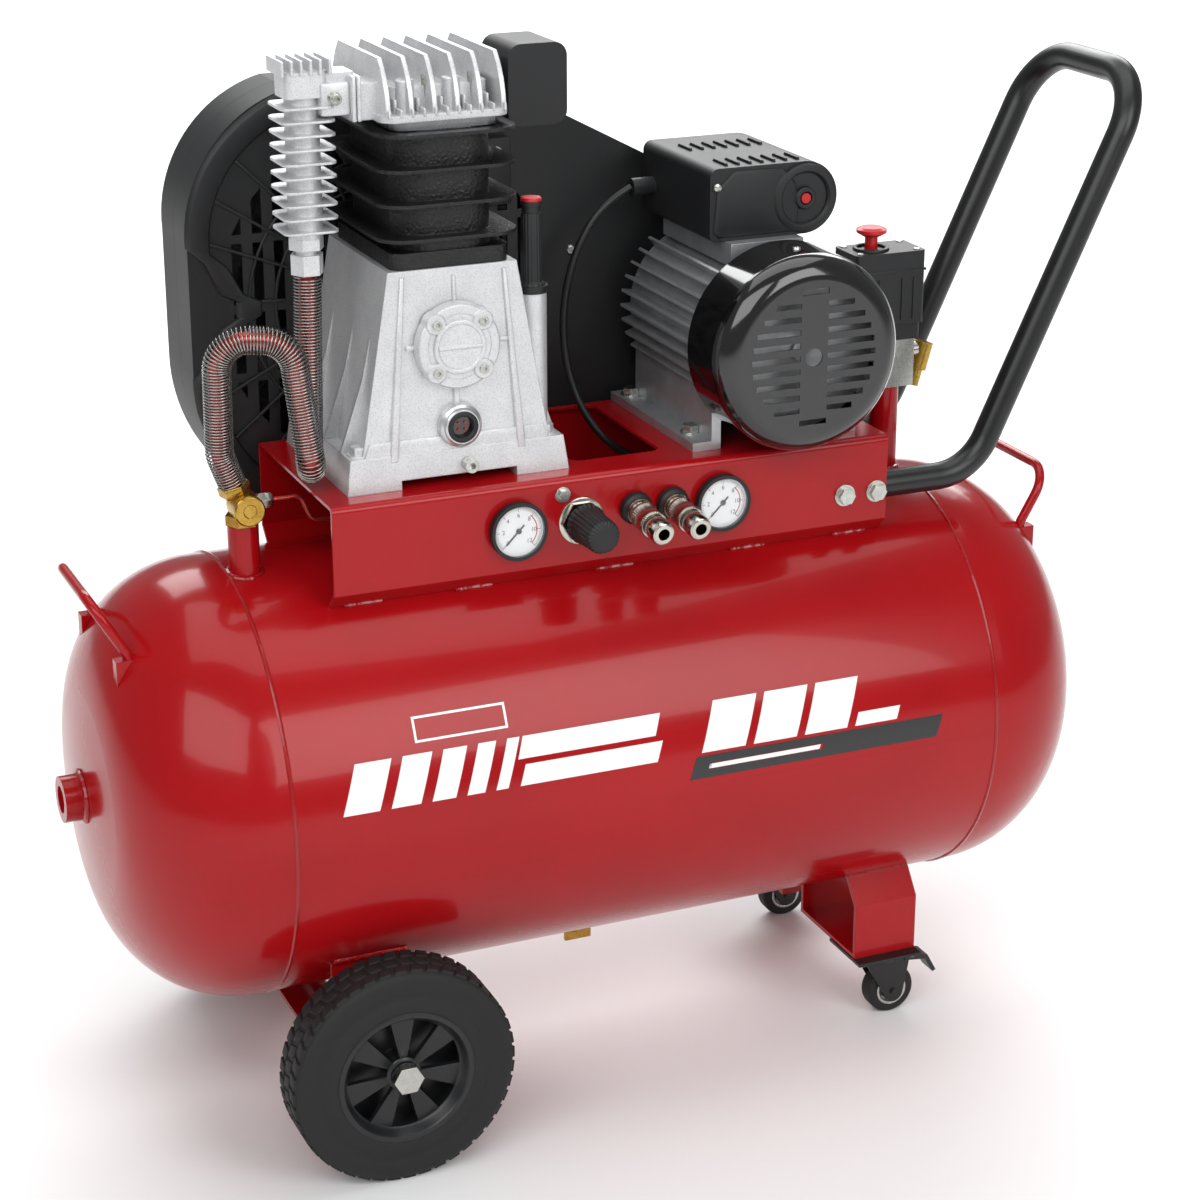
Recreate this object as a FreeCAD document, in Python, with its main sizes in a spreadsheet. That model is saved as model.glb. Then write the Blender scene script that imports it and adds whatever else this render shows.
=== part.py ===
import FreeCAD, Part
import math
import os
import re

import Sketcher

# Twin cylinder, belt driven, 100 litre workshop compressor on two wheels and two casters.
# +X runs along the tank to the push handle, +Y to the belt guard, +Z up, millimetres.
# Formulas are written about the tank's middle; put() moves every piece by origin_x, so that
# the finished object is centred over its own origin on the floor.

SIZES = {
    # air tank
    "tank_radius": 195.0, "tank_straight": 681.6, "head_depth": 122.3, "crown_rise": 5.3,
    "tank_wall": 3.0, "tank_clearance": 115.0, "port_reach": 18.0, "port_radius": 20.5,
    "port_bore": 12.1, "riser_radius": 13.4, "riser_bore": 9.0, "inlet_x": -316.0,
    "inlet_y": -25.0, "inlet_top": 41.0, "outlet_x": 321.0, "outlet_y": 17.0, "outlet_top": 80.0,
    "drain_x": 0.0, "drain_radius": 9.0,
    # lifting handles on the tank's heads
    "lift_rod": 4.5, "lift_foot_x": 430.0, "lift_foot_y": 60.0, "lift_bar_x": 457.0,
    "lift_foot_rise": 140.0, "lift_bar_rise": 195.0, "lift_bend": 26.0, "tab_width": 12.0,
    # wheels and axle
    "wheel_x": -249.5, "wheel_radius": 100.1, "tyre_width": 47.0, "rim_radius": 61.0,
    "tyre_gap": 17.9, "tyre_shoulder": 9.0, "axle_radius": 10.0, "axle_fit": 0.05,
    "hub_radius": 16.0, "rim_recess": 9.0, "bracket_gap": 22.0, "bracket_width": 70.0,
    "plate_gauge": 4.0, "axle_foot": 24.0, "nut_radius": 10.5, "nut_reach": 5.0,
    # casters
    "caster_x": 261.0, "caster_y": 111.4, "caster_height": 70.0, "caster_trail": 14.5,
    "caster_wheel": 24.0, "caster_tread": 18.0, "caster_plate_x": 66.0, "caster_plate_y": 60.0,
    "caster_gauge": 3.0, "caster_pin": 3.0, "king_radius": 4.0, "fork_gap": 1.5, "fork_gauge": 2.5,
    "caster_bracket_x": 64.0, "caster_bracket_in": 92.0,
    # base frame over the tank
    "deck_left": 262.3, "deck_right": 259.5, "deck_half": 103.0, "deck_rise": 70.7,
    "deck_gauge": 3.0, "skirt_drop": 78.0, "lip_run": 24.0, "bend_radius": 6.0,
    "window_left": -30.0, "window_right": 55.0, "window_front": -63.0, "window_rear": 92.0,
    "window_corner": 10.0,
    # push handle
    "handle_tube": 12.5, "handle_wall": 1.5, "handle_reach": 530.0, "handle_height": 886.5,
    "handle_start": 190.0, "handle_knee": 355.0, "handle_bend": 55.0, "handle_drop": 51.0,
    "handle_bolt_a": 217.0, "handle_bolt_b": 248.6,
    # pump
    "pump_x": -140.0, "pump_y": 5.0, "crank_height": 120.2, "case_height": 185.0,
    "case_foot_x": 100.0, "case_foot_y": 85.0, "case_top_x": 57.0, "case_top_y": 76.0,
    "case_foot_height": 30.0, "case_wall": 8.0, "case_notch": 8.0, "foot_pad": 48.0,
    "cylinder_pitch": 76.0, "bore_radius": 32.5, "piston_gap": 0.3, "throw": 19.0,
    "rod_length": 129.0, "block_height": 114.0, "core_x": 44.0, "core_y": 72.0,
    "fin_reach": 18.0, "fin_gauge": 3.0, "fin_count": 4.0, "plate_thick": 7.0,
    "head_x": 56.0, "head_y": 72.0, "head_base": 6.0, "head_fin": 44.0, "head_pitch": 20.0,
    "head_fin_gauge": 4.0, "cover_radius": 33.5, "cover_thick": 7.0, "cover_screws": 29.0,
    "sight_height": 50.0, "sight_radius": 14.0, "journal_radius": 12.5, "journal_fit": 0.05,
    "bearing_radius": 26.0, "pin_radius": 11.0, "web_radius": 33.0, "web_thick": 9.0,
    "filler_x": -62.0, "filler_y": -52.0, "filler_radius": 12.6, "filler_top": 152.0,
    "plug_radius": 8.0, "plug_top": 226.0, "plug_fit": 0.05,
    # aftercooler and filter
    "cooler_x": -252.5, "cooler_y": -30.0, "cooler_core": 14.3, "cooler_fin": 23.0,
    "cooler_pitch": 11.3, "cooler_low": 218.0, "cooler_fins": 10.0, "cooler_cap": 37.0,
    "filter_left": -60.0, "filter_width": 54.0, "filter_front": 2.0, "filter_depth": 62.0,
    "filter_base": 281.0, "filter_height": 70.0,
    # drive
    "flywheel_radius": 150.0, "flywheel_width": 26.0, "flywheel_y": 142.0, "rim_depth": 22.0,
    "flywheel_hub": 28.0, "pulley_radius": 36.0, "groove_depth": 11.0, "belt_gap": 0.4,
    "belt_height": 8.0, "belt_width": 13.0, "spoke_width": 26.0, "spoke_count": 6.0,
    "guard_front": 105.5, "guard_depth": 80.0, "guard_wall": 3.0, "guard_side": 27.0,
    "guard_above": 39.0, "guard_below": 36.0, "guard_right": 238.0, "slot_width": 9.0,
    "slot_pitch": 19.0,
    # motor
    "motor_x": 157.5, "shaft_height": 90.0, "motor_pad": 4.8, "motor_radius": 68.0,
    "motor_fin": 11.0, "motor_front": -88.0, "motor_rear": 82.0, "shield_thick": 12.0,
    "cowl_radius": 87.3, "cowl_front": -150.7, "cowl_wall": 1.5, "cowl_round": 20.0,
    "motor_foot_x": 80.5, "motor_foot_y0": -80.8, "motor_foot_y1": 98.0, "foot_width": 27.0,
    "shaft_radius": 9.5, "shaft_fit": 0.05, "fan_radius": 70.0,
    "box_left": 103.0, "box_right": 194.0, "box_front": -55.0, "box_rear": 85.0,
    "box_base": 84.0, "box_height": 64.0, "cap_radius": 33.0, "button_radius": 4.5,
    # controls
    "gauge_x_left": -98.6, "gauge_x_right": 93.6, "control_drop": 40.1, "gauge_radius": 25.6,
    "gauge_reach": 9.0, "regulator_x": -38.8, "regulator_reach": 52.0, "knob_radius": 16.0,
    "coupler_x_left": 11.5, "coupler_x_right": 46.2, "coupler_drop": 34.5,
    "coupler_reach": 62.0, "coupler_radius": 11.5, "coupler_bore": 5.2, "coupler_tilt": 6.0,
    "sleeve_gap": 0.4, "sleeve_length": 24.0,
    "switch_left": 276.0, "switch_width": 72.0, "switch_front": -5.0, "switch_depth": 45.0,
    "switch_base": 55.0, "switch_height": 84.0, "switch_knob": 14.0,
    "pipe_radius": 6.0, "guard_coil": 12.5, "cable_radius": 3.5,
}

PLACES = {
    "origin_x": "(handle_reach - port_face)/2",
    "tank_z": "tank_clearance + tank_radius",
    "tank_half": "tank_straight/2",
    "head_knuckle": "head_depth - crown_rise",
    "crown_radius": "(head_depth^2 + tank_radius^2 - 2*tank_radius*head_knuckle)/(2*crown_rise)",
    "tank_end": "tank_half + head_depth",
    "port_face": "tank_end + port_reach",
    "tank_top": "tank_z + tank_radius",
    "deck_z": "tank_top + deck_rise",
    "wheel_inner": "sqrt(tank_radius^2 - (tank_z - 2*wheel_radius - tyre_gap)^2)",
    "wheel_outer": "wheel_inner + tyre_width",
    "axle_bracket_y": "wheel_inner - bracket_gap",
    "crank_z": "deck_z + crank_height",
    "case_top": "deck_z + case_height",
    "block_top": "case_top + block_height",
    "head_z": "block_top + plate_thick",
    "motor_z": "deck_z + shaft_height + motor_pad",
    "control_z": "deck_z - control_drop",
    "coupler_z": "deck_z - coupler_drop",
    "switch_z": "deck_z + switch_base",
    "guard_left": "pump_x - flywheel_radius - guard_side",
    "guard_top": "crank_z + flywheel_radius + guard_above",
    "guard_bottom": "crank_z - flywheel_radius - guard_below",
    "guard_middle": "guard_front + guard_depth/2",
    "handle_y": "deck_half - deck_gauge - handle_tube",
    "handle_z": "deck_z - handle_drop",
    "front": "-deck_half",
    "cylinder_front": "pump_y - cylinder_pitch/2",
    "cylinder_rear": "pump_y + cylinder_pitch/2",
    "case_front": "pump_y - case_foot_y",
    "case_rear": "pump_y + case_foot_y",
    "inlet_z": "tank_top + inlet_top",
    "outlet_z": "tank_top + outlet_top",
}

doc = FreeCAD.newDocument("TwinStackCompressor")
sheet = doc.addObject("Spreadsheet::Sheet", "Sizes")
for row, (alias, value) in enumerate(SIZES.items(), start=1):
    sheet.set(f"A{row}", alias)
    sheet.set(f"B{row}", str(value))
    sheet.setAlias(f"B{row}", alias)
doc.recompute()

X = FreeCAD.Vector(1, 0, 0)
Y = FreeCAD.Vector(0, 1, 0)
Z = FreeCAD.Vector(0, 0, 1)
SKETCH_FACING = {
    "up": FreeCAD.Rotation(),
    "front": FreeCAD.Rotation(X, 90),
    "right": FreeCAD.Rotation(FreeCAD.Vector(1, 1, 1), 120),
}
WORD = re.compile(r"[A-Za-z_][A-Za-z_0-9]*")
nodes = []


def spell(formula, prefix):
    """Write a formula out in the sheet's aliases."""
    def swap(match):
        word = match.group(0)
        if word in SIZES:
            return prefix + word
        if word in PLACES:
            return "(" + spell(PLACES[word], prefix) + ")"
        return word
    return WORD.sub(swap, str(formula))


def bind(piece, path, formula):
    piece.setExpression(path, spell(formula, "Sizes."))


def num(formula):
    return float(sheet.evalExpression(spell(formula, "")))


def put(piece, at):
    """Place a piece, given about the tank's middle, in the object's own frame."""
    bind(piece, "Placement.Base.x", f"({at[0]}) - origin_x")
    bind(piece, "Placement.Base.y", at[1])
    bind(piece, "Placement.Base.z", at[2])
    return piece


def make(kind, name, sizes, at, axis=Z):
    """Add one Part primitive with its sizes bound and its own Z turned to axis."""
    piece = doc.addObject(kind, name)
    piece.Placement = FreeCAD.Placement(FreeCAD.Vector(), FreeCAD.Rotation(Z, axis))
    for path, formula in sizes.items():
        bind(piece, path, formula)
    return put(piece, at)


def block(name, size, at):
    return make("Part::Box", name, dict(zip(("Length", "Width", "Height"), size)), at)


def rod(name, radius, length, at, axis=Z):
    return make("Part::Cylinder", name, {"Radius": radius, "Height": length}, at, axis)


def cone(name, low, high, length, at, axis=Z):
    sizes = {"Radius1": low, "Radius2": high, "Height": length}
    return make("Part::Cone", name, sizes, at, axis)


def ball(name, radius, at):
    return make("Part::Sphere", name, {"Radius": radius}, at)


def hexagon(name, radius, length, at, axis=Z):
    piece = make("Part::Prism", name, {"Circumradius": radius, "Height": length}, at, axis)
    piece.Polygon = 6
    return piece


def frustum(name, low, high, rise, at):
    """A four sided taper: low and high are its half widths, at is the middle of its foot."""
    sizes = {
        "Xmin": f"-({low[0]})", "Xmax": low[0], "Zmin": f"-({low[1]})", "Zmax": low[1],
        "X2min": f"-({high[0]})", "X2max": high[0], "Z2min": f"-({high[1]})", "Z2max": high[1],
        "Ymin": "0", "Ymax": rise,
    }
    piece = doc.addObject("Part::Wedge", name)
    piece.Placement = FreeCAD.Placement(FreeCAD.Vector(), FreeCAD.Rotation(X, 90))
    for path, formula in sizes.items():
        bind(piece, path, formula)
    return put(piece, at)


def fuse(name, *parts):
    piece = doc.addObject("Part::MultiFuse", name)
    piece.Shapes = list(parts)
    return piece


def group(name, *parts):
    piece = doc.addObject("Part::Compound", name)
    piece.Links = list(parts)
    return piece


def cut(name, base, *tools):
    piece = doc.addObject("Part::Cut", name)
    piece.Base = base
    piece.Tool = tools[0] if len(tools) == 1 else fuse(name + "_tools", *tools)
    return piece


def common(name, base, tool):
    piece = doc.addObject("Part::Common", name)
    piece.Base = base
    piece.Tool = tool
    return piece


def sketch_in(name):
    """A new body with a sketch on its own XY plane."""
    body = doc.addObject("PartDesign::Body", name)
    sketch = body.newObject("Sketcher::SketchObject", name + "_sketch")
    plane = [item for item in body.Origin.OriginFeatures if item.Role == "XY_Plane"][0]
    sketch.AttachmentSupport = [(plane, "")]
    sketch.MapMode = "FlatFace"
    return body, sketch


def hold(sketch, kind, items, formula):
    """Add a dimension to a sketch and bind it to the sheet."""
    index = sketch.addConstraint(Sketcher.Constraint(kind, *items, num(formula)))
    label = f"size_{index}"
    sketch.renameConstraint(index, label)
    bind(sketch, "Constraints." + label, formula)


def arc_between(start, end, radius, side):
    """The short arc between two points; side is 1 when its centre lies left of the run."""
    chord = end - start
    left = FreeCAD.Vector(-chord.y, chord.x, 0).normalize()
    rise = math.sqrt(max(radius**2 - (chord.Length/2)**2, 0.0))
    centre = (start + end)*0.5 + left*(side*rise)
    angles = [math.atan2(point.y - centre.y, point.x - centre.x) for point in (start, end)]
    if side < 0:
        angles.reverse()
    return Part.ArcOfCircle(Part.Circle(centre, Z, radius), *angles)


def outline(sketch, corners):
    """Draw a closed loop. A corner is (u, v), or (u, v, radius, side) when an arc leads to it."""
    points = [FreeCAD.Vector(num(corner[0]), num(corner[1]), 0) for corner in corners]
    edges = []
    for index, corner in enumerate(corners):
        start, end = points[index - 1], points[index]
        if len(corner) == 2:
            edge = sketch.addGeometry(Part.LineSegment(start, end), False)
            edges.append((edge, 1, 2))
        else:
            arc = arc_between(start, end, num(corner[2]), corner[3])
            edge = sketch.addGeometry(arc, False)
            edges.append((edge, 1, 2) if corner[3] > 0 else (edge, 2, 1))
    for index, (edge, begin, _) in enumerate(edges):
        last, _, finish = edges[index - 1]
        sketch.addConstraint(Sketcher.Constraint("Coincident", last, finish, edge, begin))
        hold(sketch, "DistanceX", (edge, begin), corners[index - 1][0])
        hold(sketch, "DistanceY", (edge, begin), corners[index - 1][1])
        if len(corners[index]) == 4:
            hold(sketch, "Radius", (edge,), corners[index][2])


def ring_hole(sketch, u, v, radius):
    """Draw a full circle."""
    circle = Part.Circle(FreeCAD.Vector(num(u), num(v), 0), Z, num(radius))
    edge = sketch.addGeometry(circle, False)
    hold(sketch, "Radius", (edge,), radius)
    hold(sketch, "DistanceX", (edge, 3), u)
    hold(sketch, "DistanceY", (edge, 3), v)


def rounded(low_u, high_u, low_v, high_v, radius):
    """The corners of a rectangle with round corners."""
    return [
        (f"{low_u} + {radius}", low_v, radius, 1), (f"{high_u} - ({radius})", low_v),
        (high_u, f"{low_v} + {radius}", radius, 1), (high_u, f"{high_v} - ({radius})"),
        (f"{high_u} - ({radius})", high_v, radius, 1), (f"{low_u} + {radius}", high_v),
        (low_u, f"{high_v} - ({radius})", radius, 1), (low_u, f"{low_v} + {radius}"),
    ]


def plate(name, loops, facing, thickness, at, holes=()):
    """A padded sketch. Facing up it grows along +Z, front along -Y, right along +X."""
    body, sketch = sketch_in(name)
    for loop in loops:
        outline(sketch, loop)
    for hole in holes:
        ring_hole(sketch, *hole)
    pad = body.newObject("PartDesign::Pad", name + "_pad")
    pad.Profile = sketch
    bind(pad, "Length", thickness)
    sketch.Visibility = False
    body.Placement = FreeCAD.Placement(FreeCAD.Vector(), SKETCH_FACING[facing])
    return put(body, at)


def lathe(name, corners, axis, at):
    """A turned piece: corners are (radius, distance along axis)."""
    body, sketch = sketch_in(name)
    outline(sketch, corners)
    turn = body.newObject("PartDesign::Revolution", name + "_turn")
    turn.Profile = sketch
    turn.ReferenceAxis = (sketch, ["V_Axis"])
    turn.Angle = 360
    body.Placement = FreeCAD.Placement(FreeCAD.Vector(), FreeCAD.Rotation(Y, axis))
    return put(body, at)


def ring(name, outer, inner, length, at, axis=Z):
    corners = [(inner, "0"), (outer, "0"), (outer, length), (inner, length)]
    return lathe(name, corners, axis, at)


def bent_path(corners, radii):
    """Straight runs joined by tangent arcs of the given radii."""
    points = [FreeCAD.Vector(*corner) for corner in corners]
    edges = []
    start = points[0]
    for point, after, radius in zip(points[1:-1], points[2:], radii):
        into = (point - start).normalize()
        out = (after - point).normalize()
        turn = into.getAngle(out)
        reach = radius*math.tan(turn/2)
        first = point - into*reach
        last = point + out*reach
        centre = point + (out - into).normalize()*(radius/math.cos(turn/2))
        middle = centre + (point - centre).normalize()*radius
        edges.append(Part.LineSegment(start, first).toShape())
        edges.append(Part.Arc(first, middle, last).toShape())
        start = last
    edges.append(Part.LineSegment(start, points[-1]).toShape())
    return Part.Wire(edges)


def swept(path, radius):
    first = path.Edges[0]
    heading = first.tangentAt(first.FirstParameter)
    circle = Part.Circle(first.valueAt(first.FirstParameter), heading, radius)
    return path.makePipeShell([Part.Wire(circle.toShape())], True, True)


def tube(name, corners, radii, outer, inner=None):
    """A bent tube or rod: its route is given in formulas, its shape is swept."""
    path = bent_path([[num(part) for part in corner] for corner in corners], radii)
    shape = swept(path, num(outer))
    if inner:
        shape = shape.cut(swept(path, num(inner)))
    piece = doc.addObject("Part::Feature", name)
    piece.Shape = shape
    piece.Placement = FreeCAD.Placement(FreeCAD.Vector(-num("origin_x"), 0, 0), FreeCAD.Rotation())
    return piece


def node(piece):
    nodes.append(piece)
    return piece


def sides(name):
    """Front and rear, with the sign of their Y."""
    return ((f"{name}_front", "-"), (f"{name}_rear", ""))


def round_about(index, count, turn=0.0):
    """Cosine and sine of one of count equal steps."""
    angle = math.radians(turn + 360.0*index/count)
    return round(math.cos(angle), 6), round(math.sin(angle), 6)


# ---------------------------------------------------------------- tank
def tank_profile(inset):
    """Half outline of the tank, from end to end, drawn inset from the outer skin."""
    span = f"(crown_radius - {inset})/(crown_radius - head_knuckle)"
    meet = f"(tank_radius - head_knuckle)*{span}"
    along = f"(tank_half + head_depth - crown_radius + (crown_radius - head_depth)*{span})"
    crown, knuckle = f"crown_radius - {inset}", f"head_knuckle - {inset}"
    return [
        ("0", f"-(tank_end - {inset})"), (meet, f"-{along}", crown, 1),
        (f"tank_radius - {inset}", "-tank_half", knuckle, 1),
        (f"tank_radius - {inset}", "tank_half"), (meet, along, knuckle, 1),
        ("0", f"tank_end - {inset}", crown, 1),
    ]


def tank_solid(name, inset):
    return lathe(name, tank_profile(inset), X, ("0", "0", "tank_z"))


tank_hull = tank_solid("tank_hull", "0")
tank_air = tank_solid("tank_air", "tank_wall")
port_boss = rod("port_boss", "port_radius", "port_reach + 20", ("-port_face", "0", "tank_z"), X)
port_hole = rod("port_hole", "port_bore", "port_reach + 24", ("-port_face - 1", "0", "tank_z"), X)
inlet_riser = rod("inlet_riser", "riser_radius", "inlet_top + 20",
                  ("inlet_x", "inlet_y", "tank_top - 20"))
inlet_hole = rod("inlet_hole", "riser_bore", "inlet_top + 32",
                 ("inlet_x", "inlet_y", "tank_top - 31"))
outlet_riser = rod("outlet_riser", "riser_radius", "outlet_top + 20",
                   ("outlet_x", "outlet_y", "tank_top - 20"))
outlet_hole = rod("outlet_hole", "riser_bore", "outlet_top + 32",
                  ("outlet_x", "outlet_y", "tank_top - 31"))
drain_boss = rod("drain_boss", "drain_radius + 5", "16", ("drain_x", "0", "tank_clearance - 9"))
drain_hole = rod("drain_hole", "drain_radius", "22", ("drain_x", "0", "tank_clearance - 10"))
fittings = fuse("tank_fittings", port_boss, inlet_riser, outlet_riser, drain_boss)
tank_skin = fuse("tank_skin", tank_hull, fittings)
tank_hollow = cut("tank_hollow", tank_skin, tank_air)
tank = node(cut("tank", tank_hollow, port_hole, inlet_hole, outlet_hole, drain_hole))


def lift_handle(name, side):
    """A bent rod on two flat tabs, welded to a head; side is "-" or ""."""
    foot = f"tank_z + lift_foot_rise"
    bar = f"tank_z + lift_bar_rise"
    route = [
        (f"{side}(lift_foot_x - 6)", "-lift_foot_y", f"{foot} - 14"),
        (f"{side}lift_foot_x", "-lift_foot_y", f"{foot} + 8"),
        (f"{side}lift_bar_x", "-lift_foot_y", bar),
        (f"{side}lift_bar_x", "lift_foot_y", bar),
        (f"{side}lift_foot_x", "lift_foot_y", f"{foot} + 8"),
        (f"{side}(lift_foot_x - 6)", "lift_foot_y", f"{foot} - 14"),
    ]
    bend = num("lift_bend")
    grip = tube(name + "_rod", route, [12, bend, bend, 12], "lift_rod")
    parts = [grip]
    for end, sign in (("a", "-"), ("b", "")):
        at = (f"{side}(lift_foot_x) - 11", f"{sign}lift_foot_y - tab_width/2", f"{foot} - 26")
        parts.append(block(f"{name}_tab_{end}", ("22", "tab_width", "30"), at))
    return fuse(name, *parts)


lifts = group("lift_pair", lift_handle("lift_left", "-"), lift_handle("lift_right", ""))
node(cut("carry_handles", lifts, tank_solid("tank_trim_lifts", "0")))

drain_body = rod("drain_body", "drain_radius - axle_fit", "22", ("drain_x", "0", "tank_clearance - 26"))
drain_key = block("drain_key", ("26", "4", "10"), ("drain_x - 13", "-2", "tank_clearance - 36"))
node(fuse("drain_valve", drain_body, drain_key))


# ---------------------------------------------------------------- wheels and axle
def bracket_shell(name, half_x, middle_x, outer_y, inner_y, foot_z):
    """A folded plate hung from the tank between two Y planes, trimmed to the tank's skin."""
    gauge = "plate_gauge"
    rise = f"tank_z - ({foot_z})"
    loop = [
        (inner_y, f"{foot_z}"), (outer_y, f"{foot_z}"), (outer_y, f"{foot_z} + {rise}"),
        (f"{outer_y} - {gauge}", f"{foot_z} + {rise}"), (f"{outer_y} - {gauge}", f"{foot_z} + {gauge}"),
        (f"{inner_y} + {gauge}", f"{foot_z} + {gauge}"), (f"{inner_y} + {gauge}", f"{foot_z} + {rise}"),
        (inner_y, f"{foot_z} + {rise}"),
    ]
    return plate(name, [loop], "right", f"2*{half_x}", (f"{middle_x} - {half_x}", "0", "0"))


axle_shell = bracket_shell("axle_shell", "bracket_width/2", "wheel_x - 7", "axle_bracket_y",
                           "-axle_bracket_y", "wheel_radius - axle_foot")
axle_way = rod("axle_way", "axle_radius + axle_fit", "2*wheel_outer",
               ("wheel_x", "-wheel_outer", "wheel_radius"), Y)
node(cut("axle_bracket", axle_shell, tank_solid("tank_trim_axle", "0"), axle_way))

axle_bar = rod("axle_bar", "axle_radius", "2*wheel_outer",
               ("wheel_x", "-wheel_outer", "wheel_radius"), Y)
axle_parts = [axle_bar]
for name, sign in sides("axle_nut"):
    start = "-(wheel_outer + nut_reach)" if sign else "wheel_outer - 3.6"
    axle_parts.append(hexagon(name, "nut_radius + 3", "nut_reach + 3.6",
                              ("wheel_x", start, "wheel_radius"), Y))
node(fuse("wheel_axle", *axle_parts))


def tyre(name, sign):
    """Solid rubber tyre with round shoulders, its groove down the middle left to the tread."""
    near, far = "wheel_inner", "wheel_outer"
    corners = [
        ("rim_radius", near), ("wheel_radius - tyre_shoulder", near),
        ("wheel_radius", f"{near} + tyre_shoulder", "tyre_shoulder", 1),
        ("wheel_radius", f"{far} - tyre_shoulder"),
        ("wheel_radius - tyre_shoulder", far, "tyre_shoulder", 1), ("rim_radius", far),
    ]
    axis = Y if not sign else Y*-1
    return lathe(name, corners, axis, ("wheel_x", "0", "wheel_radius"))


def rim(name, sign):
    """Moulded rim: a barrel, a web and a hub bored for the axle."""
    near, far = "wheel_inner", "wheel_outer"
    bore = "axle_radius + axle_fit"
    web = f"{far} - rim_recess"
    corners = [
        (bore, f"{near} + 4"), ("hub_radius", f"{near} + 4"), ("hub_radius", f"{web} - 8"),
        ("rim_radius - 6", f"{web} - 8"), ("rim_radius - 6", near), ("rim_radius", near),
        ("rim_radius", far), ("rim_radius - 6", far), ("rim_radius - 10", f"{web}"),
        ("hub_radius", web), ("hub_radius", f"{far} - 4"), (bore, f"{far} - 4"),
    ]
    axis = Y if not sign else Y*-1
    return lathe(name, corners, axis, ("wheel_x", "0", "wheel_radius"))


for name, sign in sides("tyre"):
    node(tyre(name, sign))
for name, sign in sides("rim"):
    node(rim(name, sign))


# ---------------------------------------------------------------- casters
def caster_shell(name, sign):
    """Folded caster bracket; it leans in to the tank above its fold."""
    outer, gauge, foot = "(caster_y + 18)", "plate_gauge", "caster_height"
    inner = f"({outer} - caster_bracket_in - 18)"
    loop = [
        (inner, foot), (outer, foot), (outer, f"{foot} + 55"), (f"{outer} - 34", f"{foot} + 100"),
        (f"{outer} - 34 - {gauge}*1.3", f"{foot} + 100"), (f"{outer} - {gauge}", f"{foot} + 53.5"),
        (f"{outer} - {gauge}", f"{foot} + {gauge}"), (f"{inner} + {gauge}", f"{foot} + {gauge}"),
        (f"{inner} + {gauge}", f"{foot} + 100"), (inner, f"{foot} + 100"),
    ]
    if sign:
        mirrored = [(f"-({u})", v) for u, v in loop]
        loop = list(reversed(mirrored))
    at = ("caster_x - caster_bracket_x/2", "0", "0")
    return plate(name, [loop], "right", "caster_bracket_x", at)


shells = [caster_shell(name, sign) for name, sign in sides("caster_shell")]
node(cut("caster_bracket", group("caster_shells", *shells), tank_solid("tank_trim_caster", "0")))

caster_tops = []
for name, sign in sides("caster_top"):
    at = ("caster_x - caster_plate_x/2", f"{sign}caster_y - caster_plate_y/2",
          "caster_height - caster_gauge")
    flat = block(name + "_plate", ("caster_plate_x", "caster_plate_y", "caster_gauge"), at)
    race = rod(name + "_race", "15", "4", ("caster_x", f"{sign}caster_y",
                                           "caster_height - caster_gauge - 4"))
    kingpin = rod(name + "_kingpin", "king_radius", "9", ("caster_x", f"{sign}caster_y",
                                                          "caster_height - caster_gauge - 13"))
    head = rod(name + "_head", "king_radius + 3", "2", ("caster_x", f"{sign}caster_y",
                                                        "caster_height - caster_gauge - 13"))
    caster_tops.append(fuse(name, flat, race, kingpin, head))
node(group("caster_plates", *caster_tops))

FORK_TOP = "(caster_height - caster_gauge - 4.4)"
BRAKE_X = "(caster_x + caster_trail + 12)"
BRAKE_Z = f"({FORK_TOP} - 7)"
FORK_SIDE = "(caster_tread/2 + fork_gap)"


def caster_fork(name, sign):
    """Round crown with two cheeks that carry the wheel pin behind the swivel axis."""
    crown = rod(name + "_crown", "21", "3", ("caster_x", f"{sign}caster_y", f"{FORK_TOP} - 3"))
    cheeks = []
    for index, (side, shift) in enumerate((("near", f"-{FORK_SIDE} - fork_gauge"),
                                           ("far", FORK_SIDE))):
        loop = [
            ("-17", f"{FORK_TOP} - 2"), ("caster_trail - 10", "caster_wheel - 2"),
            ("caster_trail + 10", "caster_wheel - 2", "10.05", 1),
            ("caster_trail + 17", f"{FORK_TOP} - 2"),
        ]
        at = ("caster_x", f"{sign}caster_y + {shift} + fork_gauge", "0")
        cheeks.append(plate(f"{name}_{side}", [loop], "front", "fork_gauge", at))
    pin = rod(name + "_pin", "caster_pin", f"2*({FORK_SIDE} + fork_gauge) + 4",
              ("caster_x + caster_trail", f"{sign}caster_y - {FORK_SIDE} - fork_gauge - 2",
               "caster_wheel"), Y)
    rivet = rod(name + "_rivet", "1.5", f"2*({FORK_SIDE} + fork_gauge) + 2",
                (BRAKE_X, f"{sign}caster_y - {FORK_SIDE} - fork_gauge - 1", BRAKE_Z), Y)
    way = rod(name + "_king_way", "king_radius + axle_fit", "9",
              ("caster_x", f"{sign}caster_y", f"{FORK_TOP} - 6"))
    return cut(name, fuse(name + "_outer", crown, *cheeks, pin, rivet), way)


def caster_wheel(name, sign):
    """Small solid wheel, bored for its pin."""
    half = "caster_tread/2"
    bore = "caster_pin + axle_fit"
    corners = [
        (bore, f"-{half}"), ("8", f"-{half}"), ("8", f"-{half} + 1.5"), ("15", f"-{half} + 1.5"),
        ("15", f"-{half}"), ("caster_wheel - 4", f"-{half}"),
        ("caster_wheel", f"-{half} + 4", "4", 1), ("caster_wheel", f"{half} - 4"),
        ("caster_wheel - 4", half, "4", 1), ("15", half), ("15", f"{half} - 1.5"),
        ("8", f"{half} - 1.5"), ("8", half), (bore, half),
    ]
    at = ("caster_x + caster_trail", f"{sign}caster_y", "caster_wheel")
    return lathe(name, corners, Y, at)


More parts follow.
